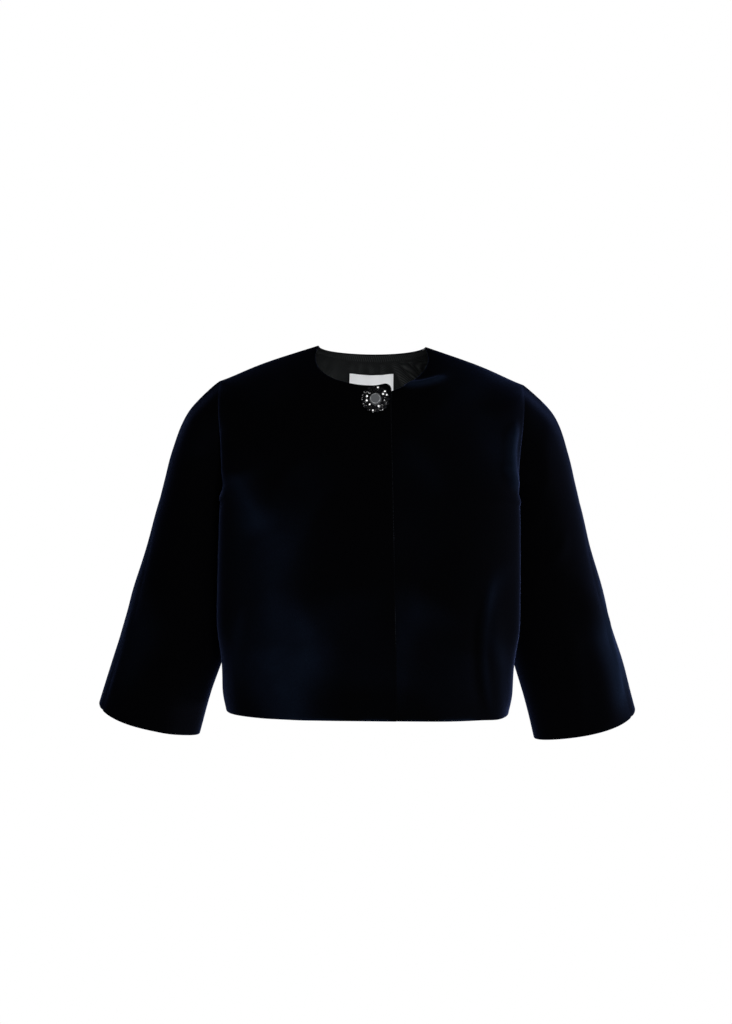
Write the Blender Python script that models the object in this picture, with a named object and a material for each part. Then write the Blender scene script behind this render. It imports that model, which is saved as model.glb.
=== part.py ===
"""Cropped collarless velvet jacket, hollow and filled out as it is worn.

Units are metres. +Z is up, -Y is the front and +X is the wearer's left. The origin lies between the
two shoulder neck points, where the wearer carries the jacket.
"""

import math
from collections import namedtuple

import bpy
import numpy as np

# Driving dimensions of the cut
BODY_LENGTH = 0.479
HEM_HALF_WIDTH = 0.184
NECK_HALF_WIDTH = 0.070
FRONT_NECK_DROP = 0.0535
BACK_NECK_DROP = 0.009
SHOULDER_HALF_WIDTH = 0.200
SHOULDER_DROP = 0.044
UNDERARM_HALF_WIDTH = 0.166
UNDERARM_DROP = 0.205
NECK_OVERLAP = 0.0245
HEM_OVERLAP = 0.0385
CUFF_HALF_WIDTH = 0.0685
CUFF_HALF_DEPTH = 0.053

# Cloth and seams
WALL = 0.002
LINING = 0.001
SEAM_GAP = 0.0003
SEAM_PULL = 0.00025
LAP_RAISE = WALL + SEAM_GAP
LAP_FADE = 0.045
LAP_CORNER = 0.009
LAP_LIFT = 0.0025
UNDERLAP_SAG = 0.0105
UNDERLAP_SAG_WIDTH = 0.085
LINING_SEAT = WALL / 2 + LINING / 2 + 0.0004

# Mesh fineness
ROW_SAMPLES = 120
FRONT_COLUMNS = 16
LAP_COLUMNS = 3
BACK_COLUMNS = 12
SIDE_ROWS = 9
ARMHOLE_ROWS = 10
SHOULDER_ROWS = 4
CAP_ROWS = 10
ARM_ROWS = 8

# Neck facing, lining and label
FACING_WIDTH = 0.010
FACING_ROWS = 2
LINING_TOP = FACING_WIDTH + SEAM_GAP
LINING_FOLD = 0.003
LINING_FOLDS = 7
LINING_LOWEST_ROW = 6
LINING_SIDE_INSET = 1
LABEL_HALF_WIDTH = 0.0297
LABEL_HEIGHT = 0.030
LABEL_TOP = 0.0200
LABEL_THICK = 0.0006
LABEL_SEAT = LINING / 2 + LABEL_THICK / 2 + SEAM_GAP
LABEL_HANG = 0.003
LABEL_ROWS = 4

# Button
BUTTON_ACROSS = 0.005
BUTTON_DROP = 0.0735
BUTTON_RADIUS = 0.0165
BUTTON_THICK = 0.0022
BUTTON_FOOT_RADIUS = 0.004
BUTTON_FOOT = 0.0016
BUTTON_SIDES = 32
STONE_RADIUS = 0.0082
STONE_TABLE = 0.62
STONE_HEIGHT = 0.0042
STONE_SIDES = 12
CRYSTAL_TABLE = 0.55
CRYSTAL_SIDES = 8

Row = namedtuple("Row", "edge_out edge_drop reach turn_x turn_out turn_drop end_x end_out end_drop dent")
Ring = namedtuple("Ring", "centre_x centre_y drop half_width half_depth tilt twist")
Fold = namedtuple("Fold", "from_x from_drop to_x to_drop width height")
CrystalRow = namedtuple("CrystalRow", "name count radius size height")

UNDERARM_ROW = 6
TIP_ROW = 11
BICEP_RING = 3
DENT_REACH = 0.060

# Half sections of the front from hem to neck: the centre edge, how far it runs level, the turn it makes
# towards its end, where it ends on the seam or armhole, and how deep the sleeve presses it in
FRONT_ROWS = (
    Row(0.1210, BODY_LENGTH, 0.150, 0.187, 0.100, BODY_LENGTH, HEM_HALF_WIDTH, 0.000, BODY_LENGTH, 0.000),
    Row(0.1225, 0.450, 0.150, 0.195, 0.100, 0.450, 0.1890, 0.000, 0.450, 0.003),
    Row(0.1235, 0.405, 0.150, 0.208, 0.100, 0.405, 0.1870, 0.000, 0.405, 0.021),
    Row(0.1250, 0.360, 0.150, 0.2275, 0.100, 0.360, 0.1745, 0.000, 0.360, 0.053),
    Row(0.1265, 0.300, 0.150, 0.233, 0.100, 0.300, 0.1650, 0.000, 0.300, 0.068),
    Row(0.1265, 0.245, 0.150, 0.234, 0.100, 0.245, 0.1580, 0.000, 0.245, 0.076),
    Row(0.1240, 0.207, 0.149, 0.230, 0.098, 0.206, UNDERARM_HALF_WIDTH, 0.000, UNDERARM_DROP, 0.064),
    Row(0.1212, 0.188, 0.145, 0.2165, 0.0915, 0.190, 0.1755, 0.036, 0.190, 0.049),
    Row(0.1155, 0.167, 0.138, 0.2020, 0.086, 0.162, 0.1890, 0.056, 0.155, 0.018),
    Row(0.1090, 0.145, 0.128, 0.1900, 0.083, 0.124, 0.1960, 0.052, 0.112, 0.000),
    Row(0.1010, 0.123, 0.115, 0.1810, 0.073, 0.088, 0.1995, 0.030, 0.068, 0.000),
    Row(0.0925, 0.101, 0.100, 0.1700, 0.058, 0.060, SHOULDER_HALF_WIDTH, 0.000, SHOULDER_DROP, 0.000),
    Row(0.0835, 0.078, 0.078, 0.1250, 0.045, 0.038, 0.1350, -0.002, 0.0215, 0.000),
    Row(0.0740, FRONT_NECK_DROP, 0.052, 0.0860, 0.030, 0.030, NECK_HALF_WIDTH, -0.004, 0.000, 0.000),
)

BACK_ROWS = (
    Row(0.1080, BODY_LENGTH, 0.145, 0.187, 0.088, BODY_LENGTH, HEM_HALF_WIDTH, 0.000, BODY_LENGTH, 0.000),
    Row(0.1070, 0.450, 0.145, 0.195, 0.088, 0.450, 0.1890, 0.000, 0.450, 0.003),
    Row(0.1070, 0.405, 0.145, 0.208, 0.088, 0.405, 0.1870, 0.000, 0.405, 0.021),
    Row(0.1080, 0.360, 0.145, 0.2275, 0.088, 0.360, 0.1745, 0.000, 0.360, 0.053),
    Row(0.1100, 0.300, 0.145, 0.233, 0.088, 0.300, 0.1650, 0.000, 0.300, 0.068),
    Row(0.1130, 0.245, 0.145, 0.232, 0.088, 0.245, 0.1580, 0.000, 0.245, 0.074),
    Row(0.1155, 0.207, 0.144, 0.228, 0.088, 0.206, UNDERARM_HALF_WIDTH, 0.000, UNDERARM_DROP, 0.062),
    Row(0.1170, 0.181, 0.142, 0.2150, 0.083, 0.188, 0.1745, 0.034, 0.190, 0.049),
    Row(0.1165, 0.151, 0.138, 0.2010, 0.080, 0.155, 0.1880, 0.052, 0.153, 0.018),
    Row(0.1120, 0.118, 0.128, 0.1900, 0.078, 0.115, 0.1955, 0.048, 0.110, 0.000),
    Row(0.1040, 0.086, 0.113, 0.1810, 0.069, 0.076, 0.1995, 0.027, 0.067, 0.000),
    Row(0.0940, 0.056, 0.095, 0.1720, 0.054, 0.047, SHOULDER_HALF_WIDTH, 0.000, SHOULDER_DROP, 0.000),
    Row(0.0810, 0.031, 0.070, 0.1230, 0.046, 0.0235, 0.1350, 0.002, 0.0215, 0.000),
    Row(0.0660, BACK_NECK_DROP, 0.035, 0.0700, 0.044, 0.005, NECK_HALF_WIDTH, 0.004, 0.000, 0.000),
)

# Rings of the sleeve from armhole to cuff: tilt is the rise of its outer side, twist turns the seams
SLEEVE_RINGS = (
    Ring(0.1830, 0.002, 0.1245, 0.0820, 0.056, 78.5, 0),
    Ring(0.2095, 0.002, 0.1460, 0.0670, 0.058, 62.6, 4),
    Ring(0.2200, 0.002, 0.1748, 0.0564, 0.058, 46.3, 14),
    Ring(0.2250, 0.002, 0.2010, 0.0510, 0.057, 27.6, 30),
    Ring(0.2330, 0.001, 0.2670, 0.0575, 0.058, 17.8, 55),
    Ring(0.2480, 0.000, 0.3565, 0.0680, 0.058, 14.0, 68),
    Ring(0.2725, -0.002, 0.4380, 0.0682, 0.056, 16.0, 63),
    Ring(0.2885, -0.004, 0.4945, CUFF_HALF_WIDTH, CUFF_HALF_DEPTH, 16.8, 61),
)
CUFF_DIP = 0.0086
CUFF_OUTER_DIP = 0.0029
FRONT_SEAM_TURN = 126
HIND_SEAM_TURN = 324

# Largest folds, each a soft ridge between two points seen from the front or from behind
LEFT_FRONT_FOLDS = (
    Fold(0.158, 0.300, 0.164, 0.500, 0.012, 0.0040),
    Fold(0.120, 0.230, 0.100, 0.500, 0.030, 0.0020),
)
RIGHT_FRONT_FOLDS = (
    Fold(0.150, 0.225, 0.080, 0.500, 0.026, 0.0045),
    Fold(0.130, 0.330, 0.125, 0.500, 0.020, 0.0025),
)
BACK_FOLDS = (
    Fold(-0.060, 0.200, -0.080, 0.500, 0.024, 0.0035),
    Fold(0.075, 0.230, 0.090, 0.500, 0.024, 0.0035),
)
LEFT_SLEEVE_FOLDS = (
    Fold(0.225, 0.260, 0.310, 0.360, 0.016, 0.0030),
    Fold(0.262, 0.230, 0.318, 0.480, 0.014, 0.0025),
)
RIGHT_SLEEVE_FOLDS = (
    Fold(0.290, 0.300, 0.225, 0.400, 0.018, 0.0030),
    Fold(0.235, 0.400, 0.262, 0.520, 0.016, 0.0030),
)
FOLD_SEAM_CLEAR = 0.018

CRYSTAL_ROWS = (
    CrystalRow("inner_crystal", 11, 0.0112, 0.0027, 0.0036),
    CrystalRow("outer_crystal", 18, 0.0161, 0.0024, 0.0026),
)

MIRROR = np.array((-1.0, 1.0, 1.0))


def unit(vectors):
    """Vectors of length one."""
    return vectors / np.maximum(np.linalg.norm(vectors, axis=-1, keepdims=True), 1e-12)


def soft_step(values):
    """A smooth rise from 0 to 1 over the range 0 to 1."""
    values = np.clip(values, 0.0, 1.0)
    return values * values * (3.0 - 2.0 * values)


def eased(table, at):
    """Rows of a table at fractional row numbers, joined smoothly and without overshoot."""
    values = np.array(table, float)
    slope = np.diff(values, axis=0)
    product = slope[:-1] * slope[1:]
    total = np.where(np.abs(slope[:-1] + slope[1:]) < 1e-12, 1.0, slope[:-1] + slope[1:])
    inner = np.where(product > 0.0, 2.0 * product / total, 0.0)
    tangent = np.concatenate((slope[:1], inner, slope[-1:]))
    at = np.asarray(at, float)
    index = np.clip(np.floor(at).astype(int), 0, len(values) - 2)
    step = (at - index)[:, None]
    start, end = values[index], values[index + 1]
    rise = soft_step(step)
    pull = tangent[index] * step * (1.0 - step) ** 2 - tangent[index + 1] * step**2 * (1.0 - step)
    return start + (end - start) * rise + pull


def dent_share(out):
    """Share of the dent under the arm at a distance from the side seam."""
    return np.exp(-((out / DENT_REACH) ** 2))


def half_section(row, facing):
    """Points of one half section, from the centre edge to its seam, facing -1 for front and 1 for back."""
    row = Row(*row)
    full_x = row.end_x + row.dent * dent_share(row.end_out)
    start = np.array((0.0, facing * row.edge_out, -row.edge_drop))
    end = np.array((full_x, facing * row.end_out, -row.end_drop))
    level = start + np.array((row.reach, 0.0, 0.0))
    turn = np.array((row.turn_x, facing * row.turn_out, -row.turn_drop))
    share = np.linspace(0.0, 1.0, ROW_SAMPLES)[:, None]
    rest = 1.0 - share
    points = rest**3 * start + 3 * rest**2 * share * level + 3 * rest * share**2 * turn + share**3 * end
    points[:, 0] -= row.dent * dent_share(points[:, 1]) * soft_step(share[:, 0] * 2.0)
    return points


def at_shares(points, shares):
    """Points at shares of a polyline's length."""
    lengths = np.concatenate(((0.0,), np.cumsum(np.linalg.norm(np.diff(points, axis=0), axis=1))))
    places = np.asarray(shares) * lengths[-1]
    return np.stack([np.interp(places, lengths, points[:, axis]) for axis in range(3)], axis=1)


def at_half_widths(points, widths):
    """Points of a half section at the given distances from the centre, mirrored where negative."""
    found = np.stack([np.interp(np.abs(widths), points[:, 0], points[:, axis]) for axis in range(3)], axis=1)
    found[:, 0] = widths
    return found


def across_widths(row, widths):
    """Points of a row that runs from the left to the right, at the given places across."""
    places = -np.asarray(widths)
    return np.stack([np.interp(places, -row[:, 0], row[:, axis]) for axis in range(3)], axis=1)


def row_levels():
    """Fractional table rows of the mesh rows: side seam, armhole, shoulder."""
    side = np.linspace(0.0, UNDERARM_ROW, SIDE_ROWS + 1)
    armhole = np.linspace(UNDERARM_ROW, TIP_ROW, ARMHOLE_ROWS + 1)
    shoulder = np.linspace(TIP_ROW, len(FRONT_ROWS) - 1, SHOULDER_ROWS + 1)
    return np.concatenate((side, armhole[1:], shoulder[1:]))


def mesh_rows(table):
    """The table's rows at the mesh rows; the line of row ends has corners at the underarm and shoulder tip."""
    levels = row_levels()
    rows = eased(table, levels)
    ends = slice(Row._fields.index("end_x"), Row._fields.index("end_drop") + 1)
    corners = (0, UNDERARM_ROW, TIP_ROW, len(table) - 1)
    for first, last in zip(corners, corners[1:]):
        inside = (levels >= first) & (levels <= last)
        line = np.array(table)[first : last + 1, ends]
        rows[inside, ends] = eased(line, levels[inside] - first)
    return rows


def half_panel(table, facing, columns):
    """Grid of one half of a panel, hem to neck and centre to seam."""
    shares = np.linspace(0.0, 1.0, columns + 1)
    return np.stack([at_shares(half_section(row, facing), shares) for row in mesh_rows(table)])


def grid_normals(points):
    """Unit normals of a grid of points, across the columns and up the rows."""
    return unit(np.cross(np.gradient(points, axis=1), np.gradient(points, axis=0)))


def fold_heights(points, folds):
    """How far the folds raise each point, by its place across and down."""
    heights = np.zeros(points.shape[:-1])
    for fold in folds:
        start = np.array((fold.from_x, -fold.from_drop))
        along = np.array((fold.to_x, -fold.to_drop)) - start
        place = points[..., (0, 2)] - start
        share = np.clip((place @ along) / (along @ along), 0.0, 1.0)
        away = np.linalg.norm(place - share[..., None] * along, axis=-1)
        heights += fold.height * np.exp(-((away / fold.width) ** 2)) * soft_step(3.0 * share)
    return heights


def seam_fade(points, columns):
    """0 at the given edge columns and 1 away from them."""
    fade = np.ones(points.shape[:-1])
    for column in columns:
        away = np.linalg.norm(points - points[:, column : column + 1 or None], axis=-1)
        fade = np.minimum(fade, soft_step(away / FOLD_SEAM_CLEAR))
    return fade


def sleeve_points(armhole):
    """Grid of the left sleeve, armhole to cuff and round from the shoulder tip over the front."""
    turn = np.linspace(0.0, 2.0 * math.pi, len(armhole))
    last = len(SLEEVE_RINGS) - 1
    levels = (*np.linspace(0.0, BICEP_RING, CAP_ROWS + 1), *np.linspace(BICEP_RING, last, ARM_ROWS + 1)[1:])
    grid = []
    first = None
    for level in levels:
        step = level / last
        ring = Ring(*eased(SLEEVE_RINGS, [level])[0])
        tilt = math.radians(ring.tilt)
        angle = turn + math.radians(ring.twist)
        out = ring.half_width * np.cos(angle)
        front = ring.half_depth * np.sin(angle)
        dip = CUFF_DIP * np.sin(angle) + CUFF_OUTER_DIP * np.sin(2.0 * angle)
        dip = dip * soft_step(np.array(step))
        loop = np.stack(
            (
                ring.centre_x + out * math.cos(tilt),
                ring.centre_y - front,
                -ring.drop + out * math.sin(tilt) - dip,
            ),
            axis=1,
        )
        first = armhole - loop if first is None else first
        settle = 1.0 - soft_step(np.array(step * 2.2))
        grid.append(loop + first * settle)
    return np.stack(grid)


def shared_normals(front, back, sleeve):
    """Normals at the seams of the left half, each the mean of the pieces that meet there."""
    low = SIDE_ROWS
    high = SIDE_ROWS + ARMHOLE_ROWS
    body = unit(front[:, -1] + back[:, -1])
    front_edge = body.copy()
    back_edge = body.copy()
    loop = sleeve[0].copy()
    front_edge[low + 1 : high] = front[low + 1 : high, -1] + loop[1:ARMHOLE_ROWS][::-1]
    back_edge[low + 1 : high] = back[low + 1 : high, -1] + loop[ARMHOLE_ROWS + 1 : -1]
    front_edge[low] = back_edge[low] = body[low] + loop[ARMHOLE_ROWS]
    front_edge[high] = back_edge[high] = body[high] + unit(loop[0] + loop[-1])
    front_edge, back_edge = unit(front_edge), unit(back_edge)
    loop[: ARMHOLE_ROWS + 1] = front_edge[low : high + 1][::-1]
    loop[ARMHOLE_ROWS:] = back_edge[low : high + 1]
    return front_edge, back_edge, loop


def pulled(points, rows=(), columns=()):
    """The grid with the given edge rows and columns drawn back from their seams."""
    points = points.copy()
    for column in columns:
        inner = points[:, 1] if column == 0 else points[:, -2]
        points[:, column] += SEAM_PULL * unit(inner - points[:, column])
    for row in rows:
        inner = points[1] if row == 0 else points[-2]
        points[row] += SEAM_PULL * unit(inner - points[row])
    return points


def cloth(name, points, normals, thick, material):
    """One closed wall of cloth, half its thickness to either side of a grid."""
    rows, columns = points.shape[:2]
    outer = (points + normals * thick / 2).reshape(-1, 3)
    inner = (points - normals * thick / 2).reshape(-1, 3)
    count = rows * columns
    index = np.arange(count).reshape(rows, columns)
    faces = []
    corners = zip(index[:-1, :-1].flat, index[:-1, 1:].flat, index[1:, 1:].flat, index[1:, :-1].flat)
    for low, right, far, left in corners:
        faces += [(low, right, far), (low, far, left)]
        faces += [(count + far, count + right, count + low), (count + left, count + far, count + low)]
    edge = [*index[0], *index[1:, -1], *index[-1, -2::-1], *index[-2:0:-1, 0]]
    for here, there in zip(edge, edge[1:] + edge[:1]):
        if points[..., 2].flat[here] < points[..., 2].flat[there]:
            faces += [(here, count + here, count + there), (here, count + there, there)]
        else:
            faces += [(here, count + here, there), (count + here, count + there, there)]
    return solid(name, np.concatenate((outer, inner)), faces, material)


def solid(name, points, faces, material):
    """A named object from points and faces, facing out."""
    mesh = bpy.data.meshes.new(name)
    mesh.from_pydata([tuple(point) for point in points], [], [tuple(map(int, face)) for face in faces])
    mesh.update()
    mesh.materials.append(material)
    piece = bpy.data.objects.new(name, mesh)
    bpy.context.collection.objects.link(piece)
    return piece


def finish(name, colour, roughness, metallic=0.0):
    """A plain material."""
    material = bpy.data.materials.new(name)
    material.use_nodes = True
    shader = material.node_tree.nodes["Principled BSDF"]
    shader.inputs["Base Color"].default_value = (*colour, 1.0)
    shader.inputs["Roughness"].default_value = roughness
    shader.inputs["Metallic"].default_value = metallic
    return material


def raised(points, normals, folds, seam_columns):
    """The grid raised along its normals by its folds, which fade out at the seams."""
    heights = fold_heights(points, folds) * seam_fade(points, seam_columns)
    return points + normals * heights[..., None]


def overlaps(half_rows):
    """How far each front runs past the centre, row by row, widening from the neck to the hem."""
    drops = np.array([-row[0, 2] for row in half_rows])
    return np.interp(drops, (FRONT_NECK_DROP, BODY_LENGTH), (NECK_OVERLAP, HEM_OVERLAP))[:, None]


def front_grid(half_rows, side):
    """Columns of a front from its edge past the centre to the seam, on side 1 left or -1 right."""
    lap_shares = np.linspace(-1.0, 0.0, LAP_COLUMNS + 1)[:-1]
    shares = np.linspace(0.0, 1.0, FRONT_COLUMNS + 1)
    grid = []
    for row, lap in zip(half_rows, overlaps(half_rows)):
        grid.append(np.concatenate((at_half_widths(row, lap * lap_shares), at_shares(row, shares))))
    points = np.stack(grid)
    return points * MIRROR if side < 0 else points


def lap_corner(points, edge_x):
    """The front with the top corner of its lap rounded."""
    away = np.abs(points[-1, :, 0] - edge_x)
    inside = np.clip(LAP_CORNER - away, 0.0, LAP_CORNER)
    cut = LAP_CORNER - np.sqrt(LAP_CORNER**2 - inside**2)
    points[-1] += unit(points[-2] - points[-1]) * cut[:, None]
    return points


def build_fronts(half_rows, seam_normals, velvet):
    """The two fronts, the right one lapped over the left."""
    neck = np.concatenate((np.zeros(SIDE_ROWS + ARMHOLE_ROWS), np.linspace(0.0, 1.0, SHOULDER_ROWS + 1)))
    left = front_grid(half_rows, 1)
    near = 1.0 - soft_step(np.abs(left[..., 0]) / UNDERLAP_SAG_WIDTH)
    left[..., 2] -= UNDERLAP_SAG * near * neck[:, None] ** 2
    facing = grid_normals(left)
    left = raised(left, facing, LEFT_FRONT_FOLDS, (-1,))
    facing = grid_normals(left)
    facing[:, -1] = seam_normals
    cloth("front_left", pulled(left, columns=(-1,)), facing, WALL, velvet)

    right = front_grid(half_rows, -1)
    lap = overlaps(half_rows)
    facing = -grid_normals(right)
    over = soft_step((right[..., 0] + lap + LAP_FADE) / LAP_FADE)
    right = right + facing * (LAP_RAISE * over)[..., None]
    right[..., 2] += LAP_LIFT * soft_step(right[..., 0] / lap) * neck[:, None] ** 2
    right = lap_corner(right, NECK_OVERLAP)
    right = raised(right * MIRROR, facing * MIRROR, RIGHT_FRONT_FOLDS, (-1,)) * MIRROR
    facing = -grid_normals(right)
    facing[:, -1] = seam_normals * MIRROR
    right, facing = pulled(right, columns=(-1,))[:, ::-1], facing[:, ::-1]
    cloth("front_right", right, facing, WALL, velvet)


def build_back(half, seam_normals, velvet):
    """The back in one panel from side to side; gives its grid and normals."""
    full = np.concatenate((half[:, ::-1], half[:, 1:] * MIRROR), axis=1)
    facing = grid_normals(full)
    full = raised(full, facing, BACK_FOLDS, (0, -1))
    facing = grid_normals(full)
    facing[:, 0] = seam_normals
    facing[:, -1] = seam_normals * MIRROR
    cloth("back", pulled(full, columns=(0, -1)), facing, WALL, velvet)
    return full, facing


def build_sleeve(side, points, loop_normals, folds, velvet):
    """One sleeve of a top and an under piece, on side 1 left or -1 right."""
    around = points.shape[1] - 1
    whole = np.concatenate((points[:, -2:-1], points, points[:, 1:2]), axis=1)
    facing = grid_normals(whole)[:, 1:-1]
    points = points + facing * (fold_heights(points, folds) * soft_step(points[..., 1] / -0.03))[..., None]
    whole = np.concatenate((points[:, -2:-1], points, points[:, 1:2]), axis=1)
    facing = grid_normals(whole)[:, 1:-1]
    facing[0] = loop_normals
    front_seam = round(around * FRONT_SEAM_TURN / 360)
    hind_seam = round(around * HIND_SEAM_TURN / 360)
    under = list(range(front_seam, hind_seam + 1))
    over = list(range(hind_seam, around)) + list(range(front_seam + 1))
    for name, columns in (("sleeve_top", over), ("sleeve_under", under)):
        grid = pulled(points[:, columns], rows=(0,), columns=(0, -1))
        normals = facing[:, columns]
        if side < 0:
            grid, normals = (grid * MIRROR)[:, ::-1], (normals * MIRROR)[:, ::-1]
        cloth(f"{name}_{'left' if side > 0 else 'right'}", grid, normals, WALL, velvet)


def down_columns(points, distances):
    """Points of each column at distances below the top row."""
    columns = []
    for column in points[::-1].swapaxes(0, 1):
        length = np.linalg.norm(np.diff(column, axis=0), axis=1).sum()
        columns.append(at_shares(column, np.asarray(distances) / length))
    return np.stack(columns, axis=1)


def build_neck(back, back_normals, twill, satin):
    """Back neck facing, back lining and label, each laid inside the back."""
    seat = back - back_normals * LINING_SEAT
    band = down_columns(seat, np.linspace(FACING_WIDTH, 0.0, FACING_ROWS + 1))
    band = pulled(band, columns=(0, -1))
    cloth("back_neck_facing", band, grid_normals(band), LINING, twill)

    inset = slice(LINING_SIDE_INSET, -LINING_SIDE_INSET)
    lining = seat[LINING_LOWEST_ROW:, inset].copy()
    lining[-1] = down_columns(seat, [LINING_TOP])[0, inset]
    across = np.linspace(0.0, 1.0, lining.shape[1])
    down = np.linspace(1.0, 0.0, lining.shape[0])
    wave = np.sin(across * math.pi * LINING_FOLDS) ** 2 * np.sin(across * math.pi)
    facing = grid_normals(lining)
    lining = lining - facing * (LINING_FOLD * soft_step(down * 3.0)[:, None] * wave)[..., None]
    cloth("back_lining", lining, grid_normals(lining), LINING, twill)

    build_label(lining, satin)


def build_label(lining, satin):
    """The blank label, sewn to the lining along its top edge and hanging a little free below."""
    rows = down_columns(lining, np.linspace(LABEL_TOP + LABEL_HEIGHT, LABEL_TOP, LABEL_ROWS + 1))
    inside = np.abs(rows[-1, :, 0]) < LABEL_HALF_WIDTH
    widths = np.array((LABEL_HALF_WIDTH, *rows[-1, inside, 0], -LABEL_HALF_WIDTH))
    label = np.stack([across_widths(row, widths) for row in rows])
    hang = LABEL_SEAT + LABEL_HANG * np.linspace(1.0, 0.0, LABEL_ROWS + 1)
    label = label - grid_normals(label) * hang[:, None, None]
    cloth("label", label, grid_normals(label), LABEL_THICK, satin)


def turned(profile, sides):
    """Points and faces of a profile of (radius, height) turned about its axis, closed at both ends."""
    points = []
    faces = []
    for radius, height in profile:
        for step in range(sides):
            angle = 2.0 * math.pi * step / sides
            points.append((radius * math.cos(angle), radius * math.sin(angle), height))
    for ring in range(len(profile) - 1):
        for step in range(sides):
            after = (step + 1) % sides
            low, high = ring * sides, (ring + 1) * sides
            faces.append((low + step, low + after, high + after, high + step))
    faces.append(tuple(reversed(range(sides))))
    faces.append(tuple(range((len(profile) - 1) * sides, len(profile) * sides)))
    return np.array(points), faces


def build_button(seat, axes, metal, grey_glass, black_glass):
    """The jewelled button on the lap: setting, centre stone and rings of crystals."""
    base = BUTTON_FOOT + BUTTON_THICK
    setting = (
        (BUTTON_FOOT_RADIUS, 0.0),
        (BUTTON_FOOT_RADIUS, BUTTON_FOOT),
        (BUTTON_RADIUS * 0.95, BUTTON_FOOT),
        (BUTTON_RADIUS, BUTTON_FOOT + BUTTON_THICK / 2),
        (BUTTON_RADIUS, base),
    )
    stone_seat = base + SEAM_GAP
    stone = (
        (STONE_RADIUS * 0.92, stone_seat),
        (STONE_RADIUS, stone_seat + STONE_HEIGHT * 0.45),
        (STONE_RADIUS * STONE_TABLE, stone_seat + STONE_HEIGHT),
    )
    for name, profile, sides, material in (
        ("button_setting", setting, BUTTON_SIDES, metal),
        ("button_stone", stone, STONE_SIDES, grey_glass),
    ):
        points, faces = turned(profile, sides)
        solid(name, seat + points @ axes, faces, material)
    for row in CRYSTAL_ROWS:
        profile = (
            (row.size * 0.8, stone_seat),
            (row.size, stone_seat + row.height * 0.5),
            (row.size * CRYSTAL_TABLE, stone_seat + row.height),
        )
        points, faces = turned(profile, CRYSTAL_SIDES)
        for step in range(row.count):
            angle = 2.0 * math.pi * step / row.count
            place = np.array((row.radius * math.cos(angle), row.radius * math.sin(angle), 0.0))
            solid(f"{row.name}_{step + 1:02d}", seat + (points + place) @ axes, faces, black_glass)


def button_place(half_rows):
    """The button's seat on the lap at centre front and its axes, the last one pointing out."""
    centre = np.stack([row[0] for row in half_rows])
    drops = -centre[:, 2]
    out = np.interp(BUTTON_DROP, drops[::-1], centre[::-1, 1])
    span = BUTTON_RADIUS
    above = np.interp(BUTTON_DROP - span, drops[::-1], centre[::-1, 1])
    below = np.interp(BUTTON_DROP + span, drops[::-1], centre[::-1, 1])
    up = unit(np.array((0.0, above - below, 2.0 * span)))
    across = np.array((1.0, 0.0, 0.0))
    normal = np.cross(across, up)
    seat = np.array((BUTTON_ACROSS, out, -BUTTON_DROP)) + normal * (LAP_RAISE + WALL / 2 + SEAM_GAP)
    return seat, np.stack((across, up, normal))


def main():
    """Builds the jacket."""
    for leftover in list(bpy.data.objects):
        bpy.data.objects.remove(leftover)
    velvet = finish("velvet", (0.004, 0.006, 0.016), 0.9)
    twill = finish("lining_twill", (0.012, 0.012, 0.014), 0.6)
    satin = finish("label_satin", (0.75, 0.76, 0.78), 0.5)
    metal = finish("dark_metal", (0.02, 0.02, 0.022), 0.35, 1.0)
    grey_glass = finish("grey_glass", (0.10, 0.105, 0.11), 0.1)
    black_glass = finish("black_glass", (0.005, 0.005, 0.006), 0.05)

    half_rows = [half_section(row, -1) for row in mesh_rows(FRONT_ROWS)]
    front = half_panel(FRONT_ROWS, -1, FRONT_COLUMNS)
    back = half_panel(BACK_ROWS, 1, BACK_COLUMNS)
    armhole_rows = slice(SIDE_ROWS, SIDE_ROWS + ARMHOLE_ROWS + 1)
    armhole = np.concatenate((front[armhole_rows, -1][::-1], back[armhole_rows, -1][1:]))
    sleeve = sleeve_points(armhole)
    wrapped = np.concatenate((sleeve[:, -2:-1], sleeve, sleeve[:, 1:2]), axis=1)
    front_seam, back_seam, loop = shared_normals(
        grid_normals(front), -grid_normals(back), grid_normals(wrapped)[:, 1:-1]
    )

    build_fronts(half_rows, front_seam, velvet)
    back_full, back_normals = build_back(back, back_seam, velvet)
    build_sleeve(1, sleeve, loop, LEFT_SLEEVE_FOLDS, velvet)
    build_sleeve(-1, sleeve, loop, RIGHT_SLEEVE_FOLDS, velvet)
    build_neck(back_full, back_normals, twill, satin)
    build_button(*button_place(half_rows), metal, grey_glass, black_glass)


main()
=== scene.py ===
"""Looks of a cropped velvet jacket: cloth, lining, label and jewelled button, with floor, light and camera.

The cloth repeats the cut of the solids on a finer grid, from the same sections, rings and folds, and adds
creases, sunk seams and rounded edges. Units are metres, -Y is the front and +X is the wearer's left.
"""

import logging
import math
from dataclasses import dataclass
from enum import Enum
from typing import NamedTuple

import bpy
import numpy as np
from bpy.types import Material, Mesh, Node, NodeSocket, NodeTree, Object
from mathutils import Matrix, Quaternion, Vector


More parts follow.
